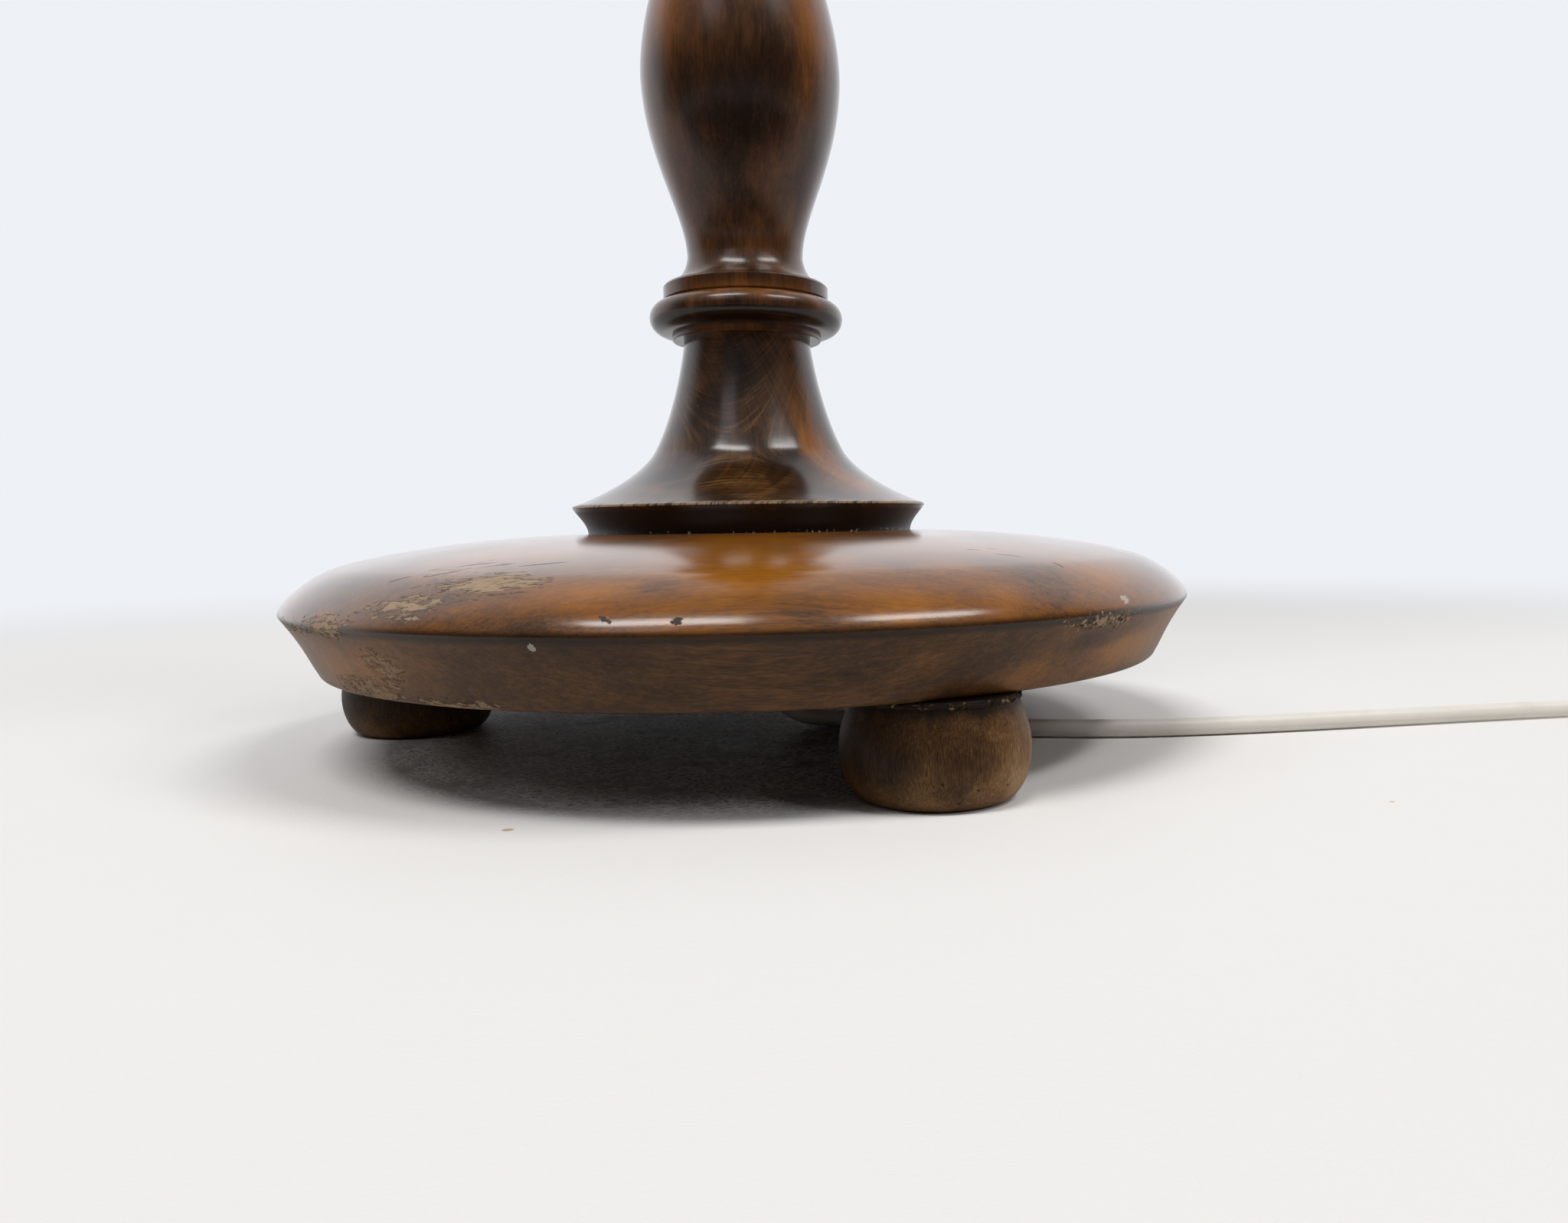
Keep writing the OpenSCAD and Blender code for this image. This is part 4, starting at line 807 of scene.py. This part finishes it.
# %% The upper stem
UPPER_Z = STEM_Z + LOWER_H
UPPER_H = 480
upper_outline = (
    socket
    + [(19.5, 0), (19.5, 1.5)]
    + arc(18, 8, 6, -80, 80, 20)
    + [(19, 15), (19, 18)]
    + curve((19, 18), (17, 20), (16, 23), (16, 28), 10)[1:]
    + curve((16, 28), (19.3, 98), (17.5, 202), (14.2, 352), 34)[1:]
    + bead(37.4, 358, 4)
    + [(14.8, 363), (14.8, 366)]
    + curve((13.4, 368), (13.4, 384), (24.5, 388), (25, 408), 22)
    + curve((25, 408), (25, 432), (12.4, 434), (12.4, 456), 22)[1:]
    + curve((12.4, 458), (12.4, 470), (16, 474), (22, 477), 12)
    + [(22, UPPER_H), (9, UPPER_H), (9, UPPER_H + 25), (8, UPPER_H + 26), (TUBE_BORE, UPPER_H + 26)]
)
upper = turned("slim_stem", raised(upper_outline, UPPER_Z), steps=128)
stands_for(upper, "upper_stem", column_wood)

# %% The drip pan and the candle cup
PAN_Z = UPPER_Z + UPPER_H
PAN_H = 14
pan_outline = (
    [(9.15, 0)]
    + curve((21, 0), (34, 0.5), (42, 3), (45.6, 6.6), 16)
    + arc(44.8, 8.4, 2.2, -50, 110, 14)
    + curve((42.5, 9.8), (35, 8.8), (28, 8.8), (21, 11), 14)
    + [(20, PAN_H), (9.15, PAN_H)]
)
pan = turned("pan", raised(pan_outline, PAN_Z), steps=128)
stands_for(pan, "drip_pan", column_wood)

CUP_Z = PAN_Z + PAN_H
CUP_H = 46
cup_outline = (
    [(TUBE_BORE, 12.5), (9.15, 12.5), (9.15, 0), (19, 0), (20, 1.5), (20, 4), (17.5, 6)]
    + curve((17, 7.5), (15, 16), (15.5, 26), (21, 37), 18)
    + arc(19.8, 41, 3.2, -50, 70, 14)
    + [(20, CUP_H), (13.5, CUP_H), (13.5, CUP_H - 12), (TUBE_BORE, CUP_H - 12)]
)
cup = turned("cup", raised(cup_outline, CUP_Z), steps=128)
stands_for(cup, "candle_cup", column_wood)

# %% [markdown]
# ## Metals, plastics, glass and cloth
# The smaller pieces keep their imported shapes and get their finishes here. One metal differs
# from the next in little more than colour and dullness, so one function makes them all and a
# second one all that is moulded or glazed. Cord and cloth have patterns of their own.

# %% Metals
def metal_finish(name, colour, dull, roughness, scale=300):
    """A metal with a handled, slightly uneven polish. dull is the colour of its tarnish."""
    f = Finish(name, Metallic=1.0)
    tarnish = f.grain(scale, 5, 0.6).step(0.36, 0.74)
    f.set(Base_Color=f.blend(tarnish, colour, dull), Roughness=roughness + tarnish * 0.12)
    f.bump(f.grain(1800, 2, 0.5), 0.006)
    return f.material


def plain_finish(name, colour, shade, roughness, scale=120, depth=0.01, **constants):
    """Moulded or glazed: an even colour with faint clouds, and the skin of its mould."""
    f = Finish(name, **constants)
    clouds = f.grain(scale, 4, 0.6).step(0.35, 0.7)
    f.set(Base_Color=f.blend(clouds, colour, shade), Roughness=roughness + clouds * 0.08)
    f.bump(f.grain(2200, 2, 0.5), depth)
    return f.material


FINISHES = {
    "zinc_steel": metal_finish("zinc", (0.60, 0.60, 0.58), (0.42, 0.41, 0.38), 0.38),
    "holder_brass": metal_finish("lacquered_brass", (0.72, 0.50, 0.20), (0.61, 0.41, 0.15), 0.22, 90),
    "contact_brass": metal_finish("bright_brass", (0.78, 0.60, 0.28), (0.60, 0.42, 0.16), 0.26),
    "nickel": metal_finish("nickel", (0.66, 0.64, 0.60), (0.50, 0.48, 0.44), 0.2),
    "fibre": plain_finish("fibre_board", (0.55, 0.42, 0.24), (0.42, 0.30, 0.16), 0.7, 400, 0.03),
    "porcelain": plain_finish("porcelain", (0.86, 0.84, 0.78), (0.78, 0.75, 0.68), 0.14),
    "black_plastic": plain_finish("black_phenolic", (0.012, 0.010, 0.009), (0.022, 0.018, 0.015), 0.24),
    "brown_plastic": plain_finish("brown_phenolic", (0.10, 0.03, 0.012), (0.05, 0.016, 0.008), 0.3),
    "white_plastic": plain_finish("white_bush", (0.74, 0.73, 0.69), (0.66, 0.64, 0.59), 0.42),
    "plug_white": plain_finish("white_plug", (0.72, 0.70, 0.65), (0.66, 0.63, 0.57), 0.38),
    "wire_brown": plain_finish("brown_core", (0.16, 0.06, 0.02), (0.12, 0.045, 0.016), 0.4),
    "wire_blue": plain_finish("blue_core", (0.02, 0.09, 0.36), (0.018, 0.07, 0.28), 0.4),
    "bulb_black_glass": plain_finish("black_glass", (0.01, 0.01, 0.012), (0.02, 0.02, 0.022), 0.12),
    "opal_glass": plain_finish(
        "opal_glass", (0.86, 0.85, 0.81), (0.83, 0.82, 0.77), 0.16, 20, 0.002,
        Subsurface_Weight=0.15, Subsurface_Radius=(0.02, 0.02, 0.018),
    ),
    "clear_glass": plain_finish("glass_stem", (0.80, 0.83, 0.84), (0.76, 0.80, 0.80), 0.06, 60, 0.001),
    "white_wire": plain_finish("white_enamel", (0.76, 0.74, 0.68), (0.64, 0.61, 0.53), 0.34),
}


# %% Cord, linen and tape
CONE_R = 165


def cord_finish():
    """White vinyl: soft satin, a little yellowed and dusty, with long smudges from the floor."""
    f = Finish("cord_vinyl", Specular_IOR_Level=0.4)
    smudges = f.grain((35, 35, 90), 5, 0.65).step(0.45, 0.75)
    dust = f.grain(700, 3, 0.6).step(0.62, 0.75)
    colour = f.blend(smudges * 0.6, (0.70, 0.662, 0.60), (0.58, 0.54, 0.47))
    colour = f.blend(dust * 0.3, colour, (0.48, 0.44, 0.38))
    f.set(Base_Color=colour, Roughness=0.42 + dust * 0.2)
    f.bump(f.grain(500, 3, 0.5), 0.02)
    return f.material


def cloth_finish(name, colour, shade, pitch, slub, sheen=0.15):
    """A plain weave that follows the cone: threads round it and threads up it, pitch mm apart."""
    f = Finish(name, Sheen_Weight=sheen, Sheen_Roughness=0.5, Specular_IOR_Level=0.2)
    x, y, z = f.coordinates()
    round_way = y.math("ARCTAN2", x) * (CONE_R / pitch)
    up_way = z * (1 / (pitch * MM))
    wobble = f.grain((120, 120, 160), 3, 0.6)
    across = (round_way * (2 * pi) + wobble * 2.5).math("SINE")
    along = (up_way * (2 * pi) + wobble * 2.5).math("SINE")
    over = (across * along) * 0.5 + 0.5
    bars = f.noise(f.vector(round_way * 0.02, z=up_way * 0.9), 3, 0.6)
    ties = f.noise(f.vector(round_way * 0.9, z=up_way * 0.02), 3, 0.6)
    slubs = (bars.step(0.5, 0.72) + ties.step(0.52, 0.74)) * slub
    colour_mix = (over * 0.35 + slubs * 0.5 + wobble * 0.3).clamped()
    f.set(Base_Color=f.blend(colour_mix, colour, shade), Roughness=0.86)
    f.bump(over + slubs * 1.5, 0.12)
    return f.material


FINISHES["cord_white"] = cord_finish()
FINISHES["shade_cloth"] = cloth_finish("linen", (0.74, 0.68, 0.56), (0.55, 0.48, 0.36), 0.9, 0.8)
FINISHES["binding_tape"] = cloth_finish("cotton_tape", (0.66, 0.58, 0.44), (0.50, 0.43, 0.31), 0.7, 0.3)
mains_cord.data.materials.append(FINISHES["cord_white"])

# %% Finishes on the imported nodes
node_slots = {part["node"]: part["material_slot"] for part in frame["record"]["subparts"]}
for node, piece in frame["nodes"].items():
    finish = FINISHES.get(node_slots[node])
    if finish:
        piece.data.materials.clear()
        piece.data.materials.append(finish)
print("finishes:", len(bpy.data.materials))

# %% [markdown]
# ## The shade
# Linen is glued on a stiff white film, bent into a cone round two wire rings, and lapped and
# glued at the back. A cotton tape is folded over each edge and holds the ring, with one row of
# stitches. The cone is turned from its own outline like the wood, but as two thin skins, because
# inside the film shows and outside the linen.

# %% Linen and film
SHADE_DROP = 15
SHADE_Z = CUP_Z + CUP_H - SHADE_DROP
SHADE_H = 280
SHADE_R = 215
SHADE_TOP_R = 110
LINEN = 0.7
WALL = 1.2
TAPE = 0.5
TAPE_H = 10
WIRE = 3.6
LAP_W = 9
LAP_T = 0.6
FOLD = 1.5
STITCH_ROW = 7
TOP_STITCHES = 172
BOTTOM_STITCHES = 336


def on_cone(up, inset):
    """A place up mm above the shade's lower edge and inset mm inside its outer face."""
    return (SHADE_R - up * (SHADE_R - SHADE_TOP_R) / SHADE_H - inset, SHADE_Z + up)


def skin(name, outer, inner):
    levels = [SHADE_H * i / 14 for i in range(15)]
    outline = [on_cone(up, outer) for up in levels] + [on_cone(up, inner) for up in reversed(levels)]
    return turned(name, outline, steps=256)


film_white = plain_finish("shade_film", (0.80, 0.78, 0.72), (0.76, 0.735, 0.67), 0.5, 30, 0.004)
linen = skin("shade_linen", 0, LINEN)
stands_for(linen, "shade_panel", FINISHES["shade_cloth"])
film = skin("shade_film", LINEN, WALL)
stands_for(film, "shade_panel", film_white)

# %% The lap at the back
start_piece()
slope = asin((SHADE_R - SHADE_TOP_R) / hypot(SHADE_R - SHADE_TOP_R, SHADE_H))
middle = (0, (SHADE_R + SHADE_TOP_R) / 2 + 0.2, SHADE_Z + SHADE_H / 2)
bpy.ops.mesh.primitive_cube_add(size=1 * MM, location=Vector(middle) * MM, rotation=(slope, 0, 0))
lap = bpy.context.object
lap.name = "shade_lap"
lap.scale = (LAP_W, LAP_T, hypot(SHADE_R - SHADE_TOP_R, SHADE_H) - 2)
place_in_mesh()
edit_all()
bpy.ops.mesh.bevel(offset=0.2 * MM, segments=2)
leave_edit()
stands_for(lap, "shade_panel", FINISHES["shade_cloth"])


# %% The tapes
def tape(name, edge, up):
    """Folded over the edge and its wire: a long leg outside, a short one inside."""
    hold = WALL + WIRE + 0.4
    legs = [
        (TAPE_H, 0), (0, 0), (0, hold), (WIRE + FOLD, hold), (WIRE + FOLD, hold + TAPE),
        (-TAPE, hold + TAPE), (-TAPE, -TAPE), (TAPE_H, -TAPE),
    ]
    piece = turned(name, [on_cone(edge + up * height, inset) for height, inset in legs], steps=256)
    stands_for(piece, name.replace("tape", "binding"), FINISHES["binding_tape"])
    return piece


def stitches(name, up, count):
    """One stitch, modelled once and copied round the shade by the spin operator."""
    start_piece()
    radius, z = on_cone(up, -TAPE)
    bpy.ops.mesh.primitive_uv_sphere_add(
        segments=8, ring_count=6, radius=1 * MM, location=(radius * MM, 0, z * MM)
    )
    piece = bpy.context.object
    piece.name = name
    piece.scale = (0.30, 1.45, 0.34)
    place_in_mesh()
    edit_all()
    bpy.ops.mesh.spin(
        steps=count - 1, dupli=True, angle=2 * pi * (count - 1) / count, center=(0, 0, 0),
        axis=(0, 0, 1),
    )
    leave_edit()
    bpy.ops.object.shade_smooth()
    dress(piece, FINISHES["binding_tape"])
    return piece


top_tape = tape("top_tape", SHADE_H, -1)
bottom_tape = tape("bottom_tape", 0, 1)
SPIDER_TURN = FOOT_TURN + 60
for arm in range(3):
    start_piece()
    turn = radians(SPIDER_TURN + 120 * arm)
    reach = SHADE_TOP_R - 2 * WIRE
    bpy.ops.mesh.primitive_cube_add(
        size=1 * MM, rotation=(0, 0, turn),
        location=(reach * cos(turn) * MM, reach * sin(turn) * MM, (SHADE_Z + SHADE_H - 8) * MM),
    )
    cutter = bpy.context.object
    cutter.scale = (8, WIRE + 1, 12.4)
    start_piece()
    top_tape.select_set(True)
    bpy.context.view_layer.objects.active = top_tape
    cut = top_tape.modifiers.new("slit", "BOOLEAN")
    cut.operation = "DIFFERENCE"
    cut.object = cutter
    bpy.ops.object.modifier_apply(modifier=cut.name)
    bpy.data.objects.remove(cutter)
stitched = [
    stitches("top_stitches", SHADE_H - STITCH_ROW, TOP_STITCHES),
    stitches("bottom_stitches", STITCH_ROW, BOTTOM_STITCHES),
]

# %% [markdown]
# ## Glue and dirt at the feet
# Where each foot meets the disc, old glue stands out in crumbs and dirt has settled in the gap.
# A thin ring whose points are pushed about at random is enough for such a seam.

# %% Seams over the feet
def seam_finish():
    f = Finish("glue_and_dirt", Specular_IOR_Level=0.2)
    lumps = f.grain(520, 4, 0.65)
    colour = f.blend(lumps.step(0.56, 0.66), (0.012, 0.007, 0.004), (0.20, 0.13, 0.055))
    f.set(Base_Color=colour, Roughness=0.7 + lumps * 0.2)
    f.bump(lumps, 0.2)
    return f.material


SEAM_R = 22.1
SEAM_T = 0.75
CRUMB = 0.42
seam_dirt = seam_finish()
for number, (node, place) in enumerate(FEET.items()):
    start_piece()
    bpy.ops.mesh.primitive_torus_add(
        major_radius=SEAM_R * MM, minor_radius=SEAM_T * MM, major_segments=150, minor_segments=8,
        location=(place[0] * MM, place[1] * MM, (DISC_Z - 0.9) * MM),
    )
    seam = bpy.context.object
    seam.name = node.replace("foot", "glue_seam")
    place_in_mesh()
    edit_all()
    bpy.ops.transform.vertex_random(offset=CRUMB * MM, uniform=1, normal=0, seed=7 + number)
    leave_edit()
    bpy.ops.object.shade_smooth()
    dress(seam, seam_dirt)

# %% [markdown]
# ## Floor, walls and light
# The lamp stands on a white table covered in leatherette, in front of a pale blue-white wall.
# Two long lamps hang under the ceiling, in front of it to the left and to the right, and show
# on every polished ring as two bright bars. Their places were found by mirroring the camera's
# rays in rim and bell. The rest of the light comes from the white room, bright behind and dark
# behind the camera, where the column finds its dark middle. A wash of light comes with each lamp
# and from low at either side. It has no mirror image, so that it fills colour and not shine.
# The creases in the leatherette show only in the shade under the disc, as pale lines in a
# darker floor, so the floor's colour paints that shadow and the pale light on the creases there,
# and the open floor stays nearly plain.

# %% Floor
WALL_COLOUR = (0.852, 0.876, 0.918)
FLOOR_COLOUR = (0.79, 0.774, 0.753)
bpy.ops.object.select_all(action="DESELECT")
bpy.ops.mesh.primitive_circle_add(radius=30, vertices=128, fill_type="NGON", location=(0, 0, 0))
floor = bpy.context.object
floor.name = "floor"


def leatherette():
    """Creased white vinyl, with painted shadow under the disc and pale painted light on the creases
    there. Far off, the camera sees it melt into the wall.
    """
    f = Finish("floor_leatherette", Specular_IOR_Level=0.03)
    x, y = f.coordinates()[:2]
    distance = (x * x + y * y) ** 0.5
    # Under the disc the floor's colour is painted darker: a painted shadow.
    under = distance.step(0.134, 0.112) * x.step(78 * MM, 52 * MM)
    wander = f.grain((60, 60, 1), 3, 0.5)
    bent = f.node(
        "ShaderNodeVectorMath", {"operation": "MULTIPLY_ADD"},
        {0: f.noise_colour(f.mapped((110, 110, 1))), 1: (0.008, 0.008, 0), 2: f.place},
    )
    cracks = 0
    for size, weight in (((70, 140, 1), 1.0), ((130, 250, 1), 0.5)):
        scaled = f.node("ShaderNodeVectorMath", {"operation": "MULTIPLY"}, {0: bent, 1: size})
        edge = f.node(
            "ShaderNodeTexVoronoi", {"feature": "DISTANCE_TO_EDGE"}, {"Vector": scaled}, "Distance"
        )
        cracks = edge.step(0.20, 0.04) * weight + cracks
    faded = f.grain((45, 45, 1), 2, 0.5).step(0.25, 0.55)
    lines = (cracks * faded).clamped()
    specks = f.blob((-60, -129, 0), (2.0, 1.6, 5)).most(f.blob((159, -141, 0), (0.9, 0.9, 5)))
    colour = f.blend(wander * 0.25, FLOOR_COLOUR, (0.77, 0.754, 0.733))
    # The painted shadow leaves the crease lines pale: painted light on the creases.
    colour = f.blend((1 - lines) * under * 0.62, colour, (0.10, 0.088, 0.084))
    colour = f.blend(specks.step(0.1, 0.4) * 0.8, colour, (0.50, 0.30, 0.12))
    f.set(Base_Color=colour, Roughness=wander * 0.1 + 0.50)
    f.bump(lines * (under * 0.8 + 0.06) + wander * 0.2, 0.34)

    rays = f.tree.nodes.new("ShaderNodeLightPath")
    seen = Value(f, rays.outputs["Is Camera Ray"]).most(Value(f, rays.outputs["Is Glossy Ray"]))
    glow = f.tree.nodes.new("ShaderNodeEmission")
    f.feed(glow.inputs["Color"], f.blend(distance.step(0.3, 0.9), (0.83, 0.81, 0.79), WALL_COLOUR))
    # From 0.15 to 0.30 m the glow is painted light over the lamp's soft shade; further out it blends the
    # floor into the wall.
    lit_away = distance.step(0.15, 0.30) * 0.40 + distance.step(0.40, 1.2) * 0.60
    f.mix_in(lit_away * seen, glow)
    return f.material


floor.data.materials.append(leatherette())

# %% [markdown]
# A black cloth lies on the table behind the camera, as in a studio. The camera doesn't see it
# and it throws no shade: it is there for reflections alone, and keeps the white table out of
# the lower half of the vase. Seen from below it is clear, so that it hides nothing.

# %% The black cloth
bpy.ops.mesh.primitive_plane_add(size=1, location=(0, -1.90, 3 * MM))
black_cloth = bpy.context.object
black_cloth.name = "black_cloth"
black_cloth.scale = (6, 3, 1)
place_in_mesh()
velvet = Finish("black_velvet", Roughness=1.0, Specular_IOR_Level=0.0)
nap = velvet.grain(40, 3)
velvet.set(Base_Color=velvet.blend(nap, (0.02, 0.018, 0.018), (0.035, 0.032, 0.030)))
under_side = velvet.node("ShaderNodeNewGeometry", out="Backfacing")
velvet.mix_in(under_side, velvet.tree.nodes.new("ShaderNodeBsdfTransparent"))
black_cloth.data.materials.append(velvet.material)
black_cloth.visible_camera = False
black_cloth.visible_diffuse = False
black_cloth.visible_shadow = False


# %% The room as a world
DIFFUSE_SHARE = 0.27


def room(dark=0.08, overhead=0.50, bright=1.45):
    """Bright behind the lamp, dimmer overhead, dark behind the camera, which sees it as white."""
    world = bpy.data.worlds.new("white_room")
    bpy.context.scene.world = world
    world.use_nodes = True
    tree = world.node_tree

    def ramped(socket, low, high, start, end):
        made = tree.nodes.new("ShaderNodeMapRange")
        made.interpolation_type = "SMOOTHSTEP"
        tree.links.new(socket, made.inputs["Value"])
        for name, value in zip(("From Min", "From Max", "To Min", "To Max"), (low, high, start, end)):
            made.inputs[name].default_value = value
        return made.outputs[0]

    def joined(operation, a, b):
        made = tree.nodes.new("ShaderNodeMath")
        made.operation = operation
        tree.links.new(a, made.inputs[0])
        tree.links.new(b, made.inputs[1])
        return made.outputs[0]

    direction = tree.nodes.new("ShaderNodeTexCoord").outputs["Generated"]
    split = tree.nodes.new("ShaderNodeSeparateXYZ")
    tree.links.new(direction, split.inputs[0])
    behind = ramped(split.outputs["Y"], -0.12, 0.45, dark, bright)
    above = ramped(split.outputs["Z"], 0.25, 0.80, 0, overhead)
    rays = tree.nodes.new("ShaderNodeLightPath").outputs
    low_light = ramped(split.outputs["Z"], 0.04, 0.34, 0.06, DIFFUSE_SHARE)
    level = joined("MAXIMUM", behind, above)
    level = joined("MULTIPLY", level, joined("MAXIMUM", low_light, rays["Is Glossy Ray"]))
    background = tree.nodes["Background"]
    background.inputs["Color"].default_value = (*WALL_COLOUR, 1)
    shown = tree.nodes.new("ShaderNodeMix")
    tree.links.new(rays["Is Camera Ray"], shown.inputs[0])
    tree.links.new(level, shown.inputs[2])
    shown.inputs[3].default_value = 1
    tree.links.new(shown.outputs[0], background.inputs["Strength"])


room()


# %% The lamps
def hang_lamp(name, place, size, radiance, colour=(1, 1, 1), turn=0, aim=None):
    """A flat lamp, level with the floor and turned about the vertical, or aimed at a place."""
    start_piece()
    bpy.ops.object.light_add(type="AREA", location=place)
    lamp = bpy.context.object
    lamp.name = name
    lamp.data.shape = "RECTANGLE"
    lamp.data.size, lamp.data.size_y = size
    lamp.data.energy = radiance * pi * size[0] * size[1]
    lamp.data.color = colour
    lamp.visible_camera = False
    lamp.rotation_euler = (0, 0, radians(turn))
    if aim:
        lamp.rotation_euler = (lamp.location - Vector(aim)).to_track_quat("Z", "Y").to_euler()
    return lamp


LEFT = ((-1.42, -1.68, 4.7), (2.54, 1.0))
LEFT_TURN = -5
RIGHT = ((2.74, -1.49, 4.7), (2.4, 1.0))
RIGHT_TURN = 28
LOW_SIZE = (0.8, 0.8)
DISC_MIDDLE = (0, 0, 0.05)
hang_lamp("lamp_left", *LEFT, 15.5, turn=LEFT_TURN)
hang_lamp("lamp_right", *RIGHT, 14, turn=RIGHT_TURN)
washes = [
    hang_lamp("wash_left", *LEFT, 6, turn=LEFT_TURN),
    hang_lamp("wash_right", *RIGHT, 3.5, turn=RIGHT_TURN),
    hang_lamp("wash_low_right", (2.2, -1.4, 1.6), LOW_SIZE, 8.5, aim=DISC_MIDDLE),
    hang_lamp("wash_low_left", (-2.2, -0.9, 1.8), LOW_SIZE, 3.5, aim=DISC_MIDDLE),
]
for wash in washes:
    wash.visible_glossy = False
WINDOW_SIZE = (0.55, 0.55)
BELL_MIDDLE = (0, 0, 0.1)
for side, place, colour in (
    ("left", (-0.75, -1.10, 1.40), (0.90, 0.88, 1.0)),
    ("right", (0.90, -0.85, 1.50), (1.0, 0.96, 0.92)),
):
    window = hang_lamp(f"window_{side}", place, WINDOW_SIZE, 1.5, colour, aim=BELL_MIDDLE)
    window.visible_diffuse = False

# %% [markdown]
# ## The end
# The view layer is brought up to date.

# %% The end
bpy.context.view_layer.update()
